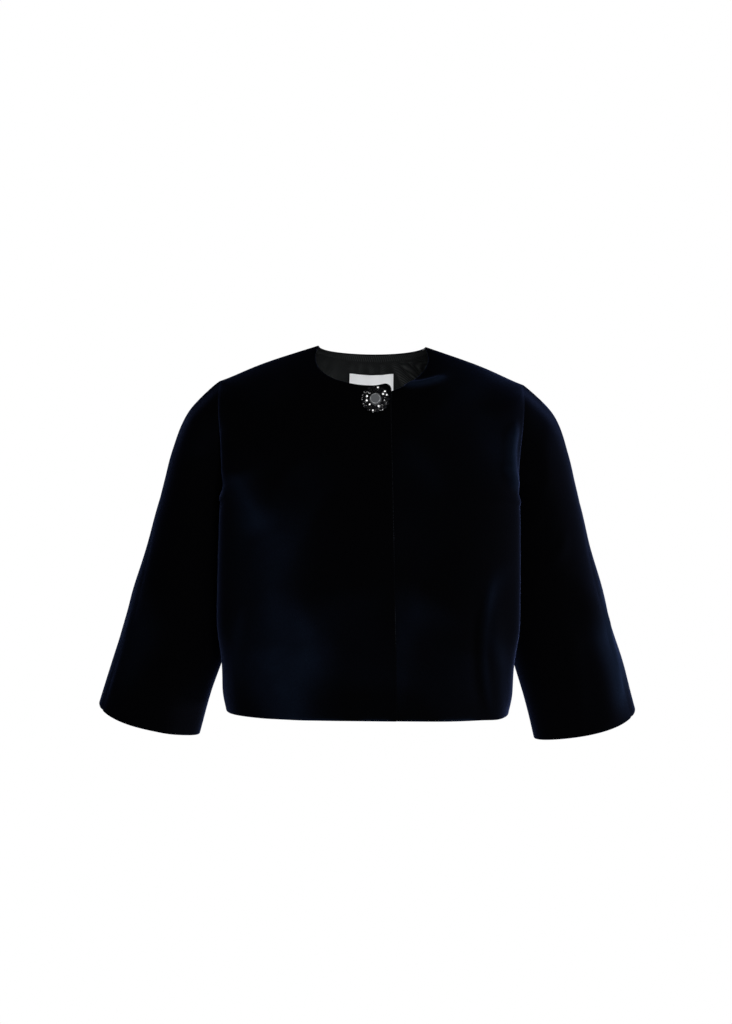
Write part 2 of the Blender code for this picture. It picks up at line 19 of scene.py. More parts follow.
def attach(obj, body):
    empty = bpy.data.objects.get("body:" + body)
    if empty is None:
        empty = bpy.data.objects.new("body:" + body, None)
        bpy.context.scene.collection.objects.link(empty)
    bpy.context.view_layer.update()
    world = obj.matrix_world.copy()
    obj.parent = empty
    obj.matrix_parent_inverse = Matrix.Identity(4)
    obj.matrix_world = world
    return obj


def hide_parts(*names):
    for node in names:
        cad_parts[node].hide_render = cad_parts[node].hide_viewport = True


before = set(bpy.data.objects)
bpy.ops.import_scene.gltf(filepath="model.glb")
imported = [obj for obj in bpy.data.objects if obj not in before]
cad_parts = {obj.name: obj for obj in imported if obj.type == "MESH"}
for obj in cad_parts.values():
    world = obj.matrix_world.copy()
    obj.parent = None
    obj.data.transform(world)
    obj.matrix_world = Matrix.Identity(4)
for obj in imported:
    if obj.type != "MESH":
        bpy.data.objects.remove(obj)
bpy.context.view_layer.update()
LOG = logging.getLogger("jacket")
ROOT_BODY = "root"
Colour = tuple[float, float, float]
Profile = tuple[tuple[float, float], ...]
WHITE = (1.0, 1.0, 1.0)
MIRROR = np.array((-1.0, 1.0, 1.0))
FULL_TURN = 360.0
TINY = 1e-12

# How quickly folds and creases rise and fade along their length, and what is left of a crease at its ends
FOLD_RISE = 3.0
CREASE_RISE = 4.0
CREASE_FALL = 3.0
CREASE_END = 0.15

# Waver of the streaks of painted light, and how much painted highlight a crest gets for each metre of its
# height
STREAK_WAVES = 0.8
STREAK_WAVER = 0.026
CREST_LIGHT = 80.0

# Scale of a band texture whose bands are one metre apart, and the colour inputs of a mix node
BAND_SCALE = 0.314
MIX_COLOURS = (6, 7)


class Side(Enum):
    """The wearer's side that a piece is on; the value is the sign of its x."""

    LEFT = 1
    RIGHT = -1

    @property
    def word(self) -> str:
        """The side as it stands in names."""
        return self.name.lower()


class Facing(Enum):
    """Which way a body panel looks; the value is the sign of its y."""

    FRONT = -1
    BACK = 1


class Border(Enum):
    """A border of a grid: the axis that leads away from it, its own line and the next one inwards."""

    LEFT = (1, 0, 1)
    RIGHT = (1, -1, -2)
    BOTTOM = (0, 0, 1)
    TOP = (0, -1, -2)


class Row(NamedTuple):
    """One half section of the body, from the centre edge round its turn to its end, with its side dent."""

    edge_out: float
    edge_drop: float
    reach: float
    turn_x: float
    turn_out: float
    turn_drop: float
    end_x: float
    end_out: float
    end_drop: float
    dent: float


class Ring(NamedTuple):
    """One ring of the sleeve: centre, half sizes, rise of its outer side and turn of its seams in degrees."""

    centre_x: float
    centre_y: float
    drop: float
    half_width: float
    half_depth: float
    tilt: float
    twist: float


class Fold(NamedTuple):
    """A large soft ridge between two points seen from the front or from behind."""

    from_x: float
    from_drop: float
    to_x: float
    to_drop: float
    width: float
    height: float


class Crease(NamedTuple):
    """A ridge, or a trough where its height is negative, along a bowed line that fades at both ends.

    Its across is a distance from the centre on the body, and an angle round the arm on a sleeve.
    """

    across: float
    drop: float
    to_across: float
    to_drop: float
    bow: float
    width: float
    height: float


class Streak(Crease):
    """A streak of painted light, laid out as a crease is; its height is how much lighter it is."""


class Wave(NamedTuple):
    """One long wave of hung cloth: radians a metre along each axis, and where it starts."""

    x: float
    y: float
    z: float
    start: float


class EdgeLight(NamedTuple):
    """How much light the facing along the front edge catches at a place down it."""

    drop: float
    light: float


class LiningFold(NamedTuple):
    """A soft fold of the lining: place across, slant, width and height."""

    across: float
    slant: float
    width: float
    height: float


class StitchSize(NamedTuple):
    """A stitch: its length, its thickness and metres from one to the next."""

    length: float
    thick: float
    spacing: float


class CrystalRow(NamedTuple):
    """One ring of crystals on the button, with the numbers of those that glint."""

    node: str
    count: int
    radius: float
    size: float
    height: float
    glinting: tuple[int, ...]


class Lamp(NamedTuple):
    """A soft square studio lamp."""

    name: str
    place: tuple[float, float, float]
    aim: tuple[float, float, float]
    size: float
    watts: float
    colour: Colour = WHITE


@dataclass(frozen=True)
class CutSizes:
    """Driving sizes of the cut, as the solids have them."""

    body_length: float = 0.479
    hem_half_width: float = 0.184
    neck_half_width: float = 0.070
    front_neck_drop: float = 0.0535
    back_neck_drop: float = 0.009
    shoulder_half_width: float = 0.200
    shoulder_drop: float = 0.044
    underarm_half_width: float = 0.166
    underarm_drop: float = 0.205
    neck_overlap: float = 0.0245
    hem_overlap: float = 0.0385
    cuff_half_width: float = 0.0685
    cuff_half_depth: float = 0.053
    cuff_dip: float = 0.0086
    cuff_outer_dip: float = 0.0029
    wall: float = 0.002
    lining: float = 0.001
    lining_clear: float = 0.0004
    seam_gap: float = 0.0003
    lap_fade: float = 0.045
    lap_corner: float = 0.009
    lap_corner_reach: float = 0.030
    lap_lift: float = 0.0025
    underlap_sag: float = 0.0105
    underlap_sag_width: float = 0.085
    dent_reach: float = 0.060
    dent_rise: float = 2.0
    fold_seam_clear: float = 0.018
    front_seam_turn: float = 126.0
    hind_seam_turn: float = 324.0
    tip_round: float = 0.0048
    tip_reach: float = 0.042

    @property
    def lap_raise(self) -> float:
        """How far the upper front lies over the lower one."""
        return self.wall + self.seam_gap

    @property
    def lining_seat(self) -> float:
        """From the middle of the velvet to the middle of the lining."""
        return self.wall / 2 + self.lining / 2 + self.lining_clear


CUT = CutSizes()
HEM = CUT.body_length
UNDERARM_ROW = 6
TIP_ROW = 11
BICEP_RING = 3

FRONT_ROWS = (
    Row(0.1210, HEM, 0.150, 0.187, 0.100, HEM, CUT.hem_half_width, 0.000, HEM, 0.000),
    Row(0.1225, 0.450, 0.150, 0.195, 0.100, 0.450, 0.1890, 0.000, 0.450, 0.003),
    Row(0.1235, 0.405, 0.150, 0.208, 0.100, 0.405, 0.1870, 0.000, 0.405, 0.021),
    Row(0.1250, 0.360, 0.150, 0.2275, 0.100, 0.360, 0.1745, 0.000, 0.360, 0.053),
    Row(0.1265, 0.300, 0.150, 0.233, 0.100, 0.300, 0.1650, 0.000, 0.300, 0.068),
    Row(0.1265, 0.245, 0.150, 0.234, 0.100, 0.245, 0.1580, 0.000, 0.245, 0.076),
    Row(0.1240, 0.207, 0.149, 0.230, 0.098, 0.206, CUT.underarm_half_width, 0.000, CUT.underarm_drop, 0.064),
    Row(0.1212, 0.188, 0.145, 0.2165, 0.0915, 0.190, 0.1755, 0.036, 0.190, 0.049),
    Row(0.1155, 0.167, 0.138, 0.2020, 0.086, 0.162, 0.1890, 0.056, 0.155, 0.018),
    Row(0.1090, 0.145, 0.128, 0.1900, 0.083, 0.124, 0.1960, 0.052, 0.112, 0.000),
    Row(0.1010, 0.123, 0.115, 0.1810, 0.073, 0.088, 0.1995, 0.030, 0.068, 0.000),
    Row(0.0925, 0.101, 0.100, 0.1700, 0.058, 0.060, CUT.shoulder_half_width, 0.000, CUT.shoulder_drop, 0.000),
    Row(0.0835, 0.078, 0.078, 0.1250, 0.045, 0.038, 0.1350, -0.002, 0.0215, 0.000),
    Row(0.0740, CUT.front_neck_drop, 0.052, 0.0860, 0.030, 0.030, CUT.neck_half_width, -0.004, 0.000, 0.000),
)
BACK_ROWS = (
    Row(0.1080, HEM, 0.145, 0.187, 0.088, HEM, CUT.hem_half_width, 0.000, HEM, 0.000),
    Row(0.1070, 0.450, 0.145, 0.195, 0.088, 0.450, 0.1890, 0.000, 0.450, 0.003),
    Row(0.1070, 0.405, 0.145, 0.208, 0.088, 0.405, 0.1870, 0.000, 0.405, 0.021),
    Row(0.1080, 0.360, 0.145, 0.2275, 0.088, 0.360, 0.1745, 0.000, 0.360, 0.053),
    Row(0.1100, 0.300, 0.145, 0.233, 0.088, 0.300, 0.1650, 0.000, 0.300, 0.068),
    Row(0.1130, 0.245, 0.145, 0.232, 0.088, 0.245, 0.1580, 0.000, 0.245, 0.074),
    Row(0.1155, 0.207, 0.144, 0.228, 0.088, 0.206, CUT.underarm_half_width, 0.000, CUT.underarm_drop, 0.062),
    Row(0.1170, 0.181, 0.142, 0.2150, 0.083, 0.188, 0.1745, 0.034, 0.190, 0.049),
    Row(0.1165, 0.151, 0.138, 0.2010, 0.080, 0.155, 0.1880, 0.052, 0.153, 0.018),
    Row(0.1120, 0.118, 0.128, 0.1900, 0.078, 0.115, 0.1955, 0.048, 0.110, 0.000),
    Row(0.1040, 0.086, 0.113, 0.1810, 0.069, 0.076, 0.1995, 0.027, 0.067, 0.000),
    Row(0.0940, 0.056, 0.095, 0.1720, 0.054, 0.047, CUT.shoulder_half_width, 0.000, CUT.shoulder_drop, 0.000),
    Row(0.0810, 0.031, 0.070, 0.1230, 0.046, 0.0235, 0.1350, 0.002, 0.0215, 0.000),
    Row(0.0660, CUT.back_neck_drop, 0.035, 0.0700, 0.044, 0.005, CUT.neck_half_width, 0.004, 0.000, 0.000),
)
PANEL_ROWS = {Facing.FRONT: FRONT_ROWS, Facing.BACK: BACK_ROWS}
SLEEVE_RINGS = (
    Ring(0.1830, 0.002, 0.1245, 0.0820, 0.056, 78.5, 0),
    Ring(0.2095, 0.002, 0.1460, 0.0670, 0.058, 62.6, 4),
    Ring(0.2200, 0.002, 0.1748, 0.0564, 0.058, 46.3, 14),
    Ring(0.2250, 0.002, 0.2010, 0.0510, 0.057, 27.6, 30),
    Ring(0.2330, 0.001, 0.2670, 0.0575, 0.058, 17.8, 55),
    Ring(0.2480, 0.000, 0.3565, 0.0680, 0.058, 14.0, 68),
    Ring(0.2725, -0.002, 0.4380, 0.0682, 0.056, 16.0, 63),
    Ring(0.2885, -0.004, 0.4945, CUT.cuff_half_width, CUT.cuff_half_depth, 16.8, 61),
)

# Large folds, which the solids have too
FRONT_FOLDS = {
    Side.LEFT: (
        Fold(0.158, 0.300, 0.164, 0.500, 0.012, 0.0040),
        Fold(0.120, 0.230, 0.100, 0.500, 0.030, 0.0020),
    ),
    Side.RIGHT: (
        Fold(0.150, 0.225, 0.080, 0.500, 0.026, 0.0045),
        Fold(0.130, 0.330, 0.125, 0.500, 0.020, 0.0025),
    ),
}
BACK_FOLDS = (
    Fold(-0.060, 0.200, -0.080, 0.500, 0.024, 0.0035),
    Fold(0.075, 0.230, 0.090, 0.500, 0.024, 0.0035),
)
SLEEVE_FOLDS = {
    Side.LEFT: (
        Fold(0.225, 0.260, 0.310, 0.360, 0.016, 0.0030),
        Fold(0.262, 0.230, 0.318, 0.480, 0.014, 0.0025),
    ),
    Side.RIGHT: (
        Fold(0.290, 0.300, 0.225, 0.400, 0.018, 0.0030),
        Fold(0.235, 0.400, 0.262, 0.520, 0.016, 0.0030),
    ),
}

# Finer creases, given one by one
FRONT_CREASES = {
    Side.LEFT: (
        Crease(0.042, 0.0530, 0.098, 0.0405, 0.003, 0.0042, 0.0054),
        Crease(0.046, 0.0620, 0.100, 0.0540, 0.002, 0.0070, -0.0016),
        Crease(0.188, 0.096, 0.188, 0.192, 0.009, 0.0062, 0.0060),
        Crease(0.172, 0.152, 0.185, 0.184, 0.000, 0.0044, 0.0024),
        Crease(0.160, 0.290, 0.158, 0.470, 0.013, 0.0055, 0.0022),
        Crease(0.148, 0.320, 0.146, 0.470, 0.010, 0.0080, -0.0016),
        Crease(0.060, 0.320, 0.035, 0.470, 0.006, 0.0140, 0.0012),
        Crease(0.105, 0.250, 0.060, 0.330, 0.008, 0.0150, -0.0010),
        Crease(0.030, 0.110, 0.090, 0.200, -0.006, 0.0150, 0.0008),
    ),
    Side.RIGHT: (
        Crease(0.060, 0.170, 0.178, 0.158, 0.004, 0.0140, -0.0022),
        Crease(0.182, 0.165, 0.140, 0.235, 0.004, 0.0080, 0.0022),
        Crease(0.188, 0.100, 0.184, 0.184, -0.006, 0.0050, 0.0018),
        Crease(0.172, 0.225, 0.150, 0.330, 0.010, 0.0090, -0.0014),
        Crease(0.110, 0.300, 0.060, 0.440, 0.006, 0.0120, 0.0012),
        Crease(0.160, 0.330, 0.166, 0.470, -0.006, 0.0070, 0.0014),
        Crease(0.050, 0.380, 0.040, 0.475, 0.004, 0.0110, -0.0010),
    ),
}
BACK_CREASES = (
    Crease(0.186, 0.090, 0.184, 0.184, -0.007, 0.0055, 0.0022),
    Crease(-0.186, 0.095, -0.183, 0.184, 0.006, 0.0055, 0.0026),
    Crease(0.165, 0.160, 0.095, 0.235, 0.010, 0.0110, 0.0016),
    Crease(-0.168, 0.150, -0.110, 0.250, -0.012, 0.0120, 0.0018),
    Crease(0.040, 0.300, 0.028, 0.470, 0.007, 0.0130, -0.0013),
    Crease(-0.020, 0.260, -0.036, 0.440, -0.006, 0.0140, 0.0012),
    Crease(0.150, 0.330, 0.160, 0.470, 0.009, 0.0080, 0.0019),
    Crease(-0.146, 0.310, -0.150, 0.475, -0.008, 0.0090, 0.0016),
    Crease(-0.060, 0.060, 0.055, 0.066, 0.006, 0.0120, -0.0009),
)
SLEEVE_CREASES = {
    Side.LEFT: (
        Crease(60, 0.240, 118, 0.300, 0.006, 0.0090, 0.0018),
        Crease(95, 0.215, 165, 0.262, 0.008, 0.0070, 0.0022),
        Crease(120, 0.300, 172, 0.345, -0.005, 0.0100, -0.0018),
        Crease(18, 0.330, 44, 0.470, 0.006, 0.0060, 0.0014),
        Crease(70, 0.360, 96, 0.490, -0.005, 0.0120, 0.0014),
        Crease(200, 0.230, 262, 0.290, 0.007, 0.0090, 0.0022),
        Crease(230, 0.300, 300, 0.340, -0.006, 0.0110, 0.0018),
        Crease(270, 0.370, 288, 0.490, 0.004, 0.0120, -0.0015),
        Crease(335, 0.250, 352, 0.420, 0.005, 0.0090, 0.0013),
    ),
    Side.RIGHT: (
        Crease(64, 0.255, 128, 0.330, -0.007, 0.0100, 0.0016),
        Crease(100, 0.220, 168, 0.275, 0.006, 0.0080, 0.0020),
        Crease(130, 0.330, 176, 0.372, 0.004, 0.0090, -0.0016),
        Crease(22, 0.350, 36, 0.480, -0.005, 0.0080, 0.0014),
        Crease(96, 0.390, 112, 0.495, 0.006, 0.0120, 0.0017),
        Crease(196, 0.235, 256, 0.305, -0.006, 0.0100, 0.0021),
        Crease(236, 0.310, 305, 0.365, 0.007, 0.0110, 0.0016),
        Crease(262, 0.390, 276, 0.490, -0.004, 0.0110, -0.0014),
        Crease(338, 0.260, 356, 0.400, -0.005, 0.0100, 0.0012),
    ),
}

# Streaks of painted light: patches of the velvet painted lighter where light falls on it
FRONT_LIT_STREAKS = {
    Side.LEFT: (
        Streak(0.100, 0.060, 0.190, 0.150, 0.004, 0.055, 0.09),
        Streak(0.172, 0.060, 0.178, 0.180, 0.006, 0.022, 0.10),
        Streak(0.080, 0.022, 0.175, 0.048, 0.004, 0.026, 0.14),
        Streak(0.176, 0.280, 0.174, 0.480, 0.010, 0.014, 0.14),
        Streak(0.075, 0.300, 0.015, 0.440, 0.008, 0.050, 0.15),
        Streak(0.050, 0.120, 0.020, 0.280, 0.004, 0.055, 0.05),
        Streak(0.130, 0.400, 0.060, 0.470, 0.000, 0.050, 0.05),
    ),
    Side.RIGHT: (
        Streak(0.172, 0.165, 0.145, 0.235, 0.004, 0.026, 0.46),
        Streak(0.160, 0.170, 0.085, 0.470, 0.012, 0.032, 0.26),
        Streak(0.150, 0.200, 0.130, 0.470, 0.000, 0.062, 0.18),
        Streak(0.102, 0.385, 0.086, 0.530, 0.000, 0.034, 0.52),
        Streak(0.115, 0.185, 0.060, 0.240, 0.004, 0.045, 0.10),
        Streak(0.030, 0.300, 0.015, 0.450, 0.004, 0.050, 0.07),
        Streak(0.100, 0.030, 0.185, 0.055, 0.004, 0.022, 0.06),
    ),
}
# Painted highlights: thin bright lines along the neck crease and along the hem
FRONT_GLINTS = {
    Side.LEFT: (
        Streak(0.038, 0.0520, 0.098, 0.0390, 0.003, 0.0031, 0.90),
        Streak(0.088, HEM, 0.140, HEM, 0.000, 0.0024, 0.60),
        Streak(0.042, HEM, 0.080, HEM, 0.000, 0.0024, 0.25),
    ),
    Side.RIGHT: (
        Streak(0.024, HEM, 0.122, HEM, 0.000, 0.0024, 0.45),
        Streak(-0.032, HEM, 0.012, HEM, 0.000, 0.0024, 0.60),
    ),
}
BACK_LIT_STREAKS = (
    Streak(0.155, 0.190, 0.095, 0.470, 0.014, 0.050, 0.38),
    Streak(-0.150, 0.230, -0.110, 0.470, -0.010, 0.044, 0.34),
    Streak(0.020, 0.110, -0.035, 0.340, 0.012, 0.060, 0.18),
    Streak(0.150, 0.060, 0.070, 0.130, 0.004, 0.046, 0.26),
    Streak(-0.140, 0.050, -0.060, 0.140, 0.004, 0.052, 0.20),
    Streak(0.030, 0.400, -0.030, 0.470, 0.000, 0.050, 0.16),
)
SLEEVE_LIT_STREAKS = {
    Side.LEFT: (
        Streak(40, 0.070, 64, 0.150, 0.000, 0.034, 0.02),
        Streak(10, 0.280, 24, 0.490, 0.004, 0.018, 0.60),
        Streak(252, 0.240, 280, 0.480, 0.010, 0.040, 0.32),
        Streak(300, 0.080, 306, 0.260, 0.000, 0.040, 0.24),
    ),
    Side.RIGHT: (
        Streak(28, 0.300, 40, 0.470, 0.004, 0.028, 0.15),
        Streak(142, 0.440, 150, 0.500, 0.000, 0.022, 0.03),
        Streak(58, 0.070, 64, 0.160, 0.000, 0.030, 0.05),
        Streak(246, 0.260, 270, 0.470, 0.008, 0.042, 0.30),
        Streak(296, 0.090, 304, 0.250, 0.000, 0.040, 0.22),
    ),
}
EDGE_LIGHTS = (
    EdgeLight(0.060, 0.8),
    EdgeLight(0.268, 0.7),
    EdgeLight(0.285, 0.1),
    EdgeLight(0.325, 0.1),
    EdgeLight(0.337, 1.0),
    EdgeLight(0.374, 0.9),
    EdgeLight(0.388, 0.0),
)
CRYSTAL_ROWS = (
    CrystalRow("inner_crystal", 11, 0.0112, 0.0027, 0.0036, (1, 5, 6, 7, 9)),
    CrystalRow("outer_crystal", 18, 0.0161, 0.0024, 0.0026, (1, 2, 4, 13)),
)
CLOTH_WAVES = (
    Wave(31.0, 17.0, 9.0, 0.4),
    Wave(-22.0, 41.0, 26.0, 1.7),
    Wave(57.0, -13.0, 38.0, 2.9),
    Wave(12.0, 33.0, -61.0, 4.1),
)


def unit(vectors: np.ndarray) -> np.ndarray:
    """Vectors of length one."""
    return vectors / np.maximum(np.linalg.norm(vectors, axis=-1, keepdims=True), TINY)


def soft_step(values: np.ndarray) -> np.ndarray:
    """A smooth rise from 0 to 1 over the range 0 to 1."""
    values = np.clip(values, 0.0, 1.0)
    return values * values * (3.0 - 2.0 * values)


def eased(table: tuple, at: np.ndarray) -> np.ndarray:
    """Joins the rows of a table smoothly and without overshoot.

    Args:
        table: rows of numbers.
        at: fractional row numbers.

    Returns:
        One row of values for each row number.
    """
    values = np.array(table, float)
    slope = np.diff(values, axis=0)
    product = slope[:-1] * slope[1:]
    total = np.where(np.abs(slope[:-1] + slope[1:]) < TINY, 1.0, slope[:-1] + slope[1:])
    inner = np.where(product > 0.0, 2.0 * product / total, 0.0)
    tangent = np.concatenate((slope[:1], inner, slope[-1:]))
    at = np.asarray(at, float)
    index = np.clip(np.floor(at).astype(int), 0, len(values) - 2)
    step = (at - index)[:, None]
    start, end = values[index], values[index + 1]
    pull = tangent[index] * step * (1.0 - step) ** 2 - tangent[index + 1] * step**2 * (1.0 - step)
    return start + (end - start) * soft_step(step) + pull


def lengths_along(points: np.ndarray) -> np.ndarray:
    """Distance of each point of a polyline from its start."""
    return np.concatenate(((0.0,), np.cumsum(np.linalg.norm(np.diff(points, axis=0), axis=1))))


def at_lengths(points: np.ndarray, places: np.ndarray) -> np.ndarray:
    """Points of a polyline at distances from its start."""
    lengths = lengths_along(points)
    return np.stack([np.interp(places, lengths, points[:, axis]) for axis in range(3)], axis=1)


def at_shares(points: np.ndarray, shares: np.ndarray) -> np.ndarray:
    """Points at shares of a polyline's length."""
    return at_lengths(points, np.asarray(shares) * lengths_along(points)[-1])


def across_widths(row: np.ndarray, widths: np.ndarray) -> np.ndarray:
    """Points of a row that runs from +X to -X, at the given values of x."""
    return np.stack([np.interp(-np.asarray(widths), -row[:, 0], row[:, axis]) for axis in range(3)], axis=1)


def down_columns(points: np.ndarray, distances: np.ndarray) -> np.ndarray:
    """Points of each column of a grid at distances below its top row."""
    return np.stack([at_lengths(column, distances) for column in points[::-1].swapaxes(0, 1)], axis=1)


def grid_normals(points: np.ndarray) -> np.ndarray:
    """Unit normals of a grid, across the columns and up the rows."""
    return unit(np.cross(np.gradient(points, axis=1), np.gradient(points, axis=0)))


def raised(points: np.ndarray, heights: np.ndarray | float) -> np.ndarray:
    """A grid with its points raised along their normals."""
    return points + grid_normals(points) * np.asarray(heights)[..., None]


def grid_lengths(points: np.ndarray, axis: int) -> np.ndarray:
    """Distance of each point of a grid from its first row (axis 0) or column (axis 1)."""
    steps = np.linalg.norm(np.diff(points, axis=axis), axis=-1)
    return np.insert(np.cumsum(steps, axis=axis), 0, 0.0, axis=axis)


def fold_heights(points: np.ndarray, folds: tuple[Fold, ...]) -> np.ndarray:
    """How far the large folds raise each point.

    Args:
        points: a grid of points.
        folds: the folds, by place across and down.

    Returns:
        A height for each point.
    """
    heights = np.zeros(points.shape[:-1])
    for fold in folds:
        start = np.array((fold.from_x, -fold.from_drop))
        along = np.array((fold.to_x, -fold.to_drop)) - start
        place = points[..., (0, 2)] - start
        share = np.clip((place @ along) / (along @ along), 0.0, 1.0)
        away = np.linalg.norm(place - share[..., None] * along, axis=-1)
        heights += fold.height * np.exp(-((away / fold.width) ** 2)) * soft_step(FOLD_RISE * share)
    return heights


def crease_heights(
    across: np.ndarray, drop: np.ndarray, creases: tuple[Crease, ...], degree: float | None = None
) -> np.ndarray:
    """How far the finer creases raise each point, or how much the streaks lighten it.

    Args:
        across: place across of each point, in metres or in degrees round an arm.
        drop: place down of each point.
        creases: the creases or streaks.
        degree: metres round the arm for one degree, where across is in degrees.

    Returns:
        A height for each point.
    """
    heights = np.zeros(across.shape)
    scale = degree or 1.0
    for crease in creases:
        run = np.array(((crease.to_across - crease.across) * scale, crease.to_drop - crease.drop))
        length = np.linalg.norm(run)
        along = run / length
        apart = across - crease.across
        if degree:
            apart = (apart + FULL_TURN / 2) % FULL_TURN - FULL_TURN / 2
        place = np.stack((apart * scale, drop - crease.drop), axis=-1)
        share = (place @ along) / length
        inside = np.clip(share, 0.0, 1.0)
        bow = 4.0 * crease.bow * inside * (1.0 - inside)
        away = place @ np.array((-along[1], along[0])) - bow
        past = np.maximum(np.abs(share - 0.5) - 0.5, 0.0) * length
        rise = soft_step(inside * CREASE_RISE + CREASE_END)
        taper = rise * soft_step((1.0 - inside) * CREASE_FALL + CREASE_END)
        heights += crease.height * taper * np.exp(-(away**2 + past**2) / crease.width**2)
    return heights


def unevenness(points: np.ndarray, height: float) -> np.ndarray:
    """A slight waver of hung cloth, from a few long waves that never line up."""
    total = sum(np.sin(points @ np.array(wave[:3]) + wave.start) for wave in CLOTH_WAVES)
    return total * height / len(CLOTH_WAVES)


def brushed(
    points: np.ndarray, across: np.ndarray, streaks: tuple[Streak, ...], degree: float | None = None
) -> np.ndarray:
    """How much the streaks of painted light lighten each point, with wavering outlines.

    Args:
        points: a grid of points.
        across: place across of each point, in metres or in degrees round an arm.
        streaks: the streaks.
        degree: metres round the arm for one degree, where across is in degrees.

    Returns:
        A share for each point.
    """
    sideways = unevenness(points * STREAK_WAVES, STREAK_WAVER)
    down = unevenness(points[..., ::-1] * STREAK_WAVES, STREAK_WAVER)
    return crease_heights(across + sideways / (degree or 1.0), down - points[..., 2], streaks, degree)


def rubbed(heights: np.ndarray) -> np.ndarray:
    """How much lighter the crests of the creases are painted, as painted highlights."""
    return CREST_LIGHT * np.maximum(heights, 0.0)


def tip_eased(points: np.ndarray) -> np.ndarray:
    """Lets points down a little round the shoulder tip, so that the shoulder runs on into the sleeve.

    Args:
        points: points of the body.

    Returns:
        The lowered points.
    """
    tip = np.array((CUT.shoulder_half_width, 0.0, -CUT.shoulder_drop))
    away = np.linalg.norm(points - tip, axis=-1)
    points = points.copy()
    points[..., 2] -= CUT.tip_round * np.exp(-((away / CUT.tip_reach) ** 2))
    return points


def seam_fade(points: np.ndarray, columns: tuple[int, ...]) -> np.ndarray:
    """Where folds and creases may rise.

    Args:
        points: a grid of points.
        columns: its sewn edge columns.

    Returns:
        0 at those columns and 1 away from them, for each point.
    """
    fade = np.ones(points.shape[:-1])
    for column in columns:
        away = np.linalg.norm(points - points[:, [column]], axis=-1)
        fade = np.minimum(fade, soft_step(away / CUT.fold_seam_clear))
    return fade


class Grain(NamedTuple):
    """An uneven pattern: its fineness, layers, roughness and distortion."""

    scale: float
    detail: float = 2.0
    roughness: float = 0.5
    distortion: float = 0.0


class Span(NamedTuple):
    """A range of values and the range that it is stretched to."""

    low: float = 0.0
    high: float = 1.0
    to_low: float = 0.0
    to_high: float = 1.0


class Weave(NamedTuple):
    """Even bands of thread: metres from one to the next, distortion, layers and the axis across them."""

    pitch: float
    distortion: float
    detail: float
    axis: str


@dataclass(frozen=True)
class Tree:
    """Adds nodes to a node tree and links them."""

    tree: NodeTree

    def node(self, kind: str, inputs: dict | None = None, **settings: object) -> Node:
        """Adds a node.

        Args:
            kind: the node's type.
            inputs: values or sockets by input name or number.
            settings: the node's own properties.

        Returns:
            The node.
        """
        made = self.tree.nodes.new(kind)
        for name, value in settings.items():
            setattr(made, name, value)
        for name, value in (inputs or {}).items():
            if isinstance(value, NodeSocket):
                self.tree.links.new(value, made.inputs[name])
            else:
                made.inputs[name].default_value = value
        return made

    def times(self, first: NodeSocket, second: NodeSocket | float) -> NodeSocket:
        """The product of two values."""
        return self.node("ShaderNodeMath", {0: first, 1: second}, operation="MULTIPLY").outputs[0]


@dataclass(frozen=True)
class Paint(Tree):
    """The node tree of one material, with its shader."""

    material: Material
    shader: Node

    def place(self, kind: str) -> NodeSocket:
        """Where a point of the surface is, on the object or on its flat cloth."""
        return self.node("ShaderNodeTexCoord").outputs[kind]

    def attribute(self, name: str) -> NodeSocket:
        """A value that the mesh holds."""
        return self.node("ShaderNodeAttribute", attribute_name=name).outputs["Fac"]

    def noise(self, place: NodeSocket, grain: Grain) -> NodeSocket:
        """An uneven pattern."""
        values = dict(zip(("Scale", "Detail", "Roughness", "Distortion"), grain))
        return self.node("ShaderNodeTexNoise", {"Vector": place, **values}).outputs["Fac"]

    def bands(self, place: NodeSocket, weave: Weave, turn: float = 0.0) -> NodeSocket:
        """Bands of thread.

        Args:
            place: where the points of the surface are.
            weave: the bands.
            turn: how far they are turned, in degrees.

        Returns:
            The bands' height.
        """
        if turn:
            rotation = (0.0, 0.0, math.radians(turn))
            place = self.node("ShaderNodeMapping", {"Vector": place, "Rotation": rotation}).outputs[0]
        values = {"Scale": BAND_SCALE / weave.pitch, "Distortion": weave.distortion, "Detail": weave.detail}
        bands = self.node("ShaderNodeTexWave", {"Vector": place, **values}, bands_direction=weave.axis)
        return bands.outputs["Fac"]

    def ranged(self, value: NodeSocket, span: Span) -> NodeSocket:
        """A value stretched from one range to another."""
        return self.node("ShaderNodeMapRange", {0: value, **dict(enumerate(span, start=1))}).outputs[0]

    def coloured(self, share: NodeSocket, first: Colour, second: Colour) -> None:
        """Mixes the surface's colour.

        Args:
            share: how much of the second colour there is.
            first: the first colour.
            second: the second colour.
        """
        ends = dict(zip(MIX_COLOURS, ((*first, 1.0), (*second, 1.0))))
        colour = self.node("ShaderNodeMix", {"Factor": share, **ends}, data_type="RGBA")
        self.tree.links.new(colour.outputs[2], self.shader.inputs["Base Color"])

    def bumped(self, height: NodeSocket, strength: float, depth: float) -> None:
        """Gives the surface its relief."""
        bump = self.node("ShaderNodeBump", {"Height": height, "Strength": strength, "Distance": depth})
        self.tree.links.new(bump.outputs["Normal"], self.shader.inputs["Normal"])


@dataclass(frozen=True)
class Finish:
    """A surface finish that makes its own material."""

    name: str
    roughness: float

    def paint(self, **values: object) -> Paint:
        """Starts a material.

        Args:
            values: constants for the shader's own sockets, with _ for a space.

        Returns:
            The material's tree.
        """
        material = bpy.data.materials.new(self.name)
        material.use_nodes = True
        shader = material.node_tree.nodes["Principled BSDF"]
        shader.inputs["Roughness"].default_value = self.roughness
        for name, value in values.items():
            shader.inputs[name.replace("_", " ")].default_value = value
        return Paint(material.node_tree, material, shader)


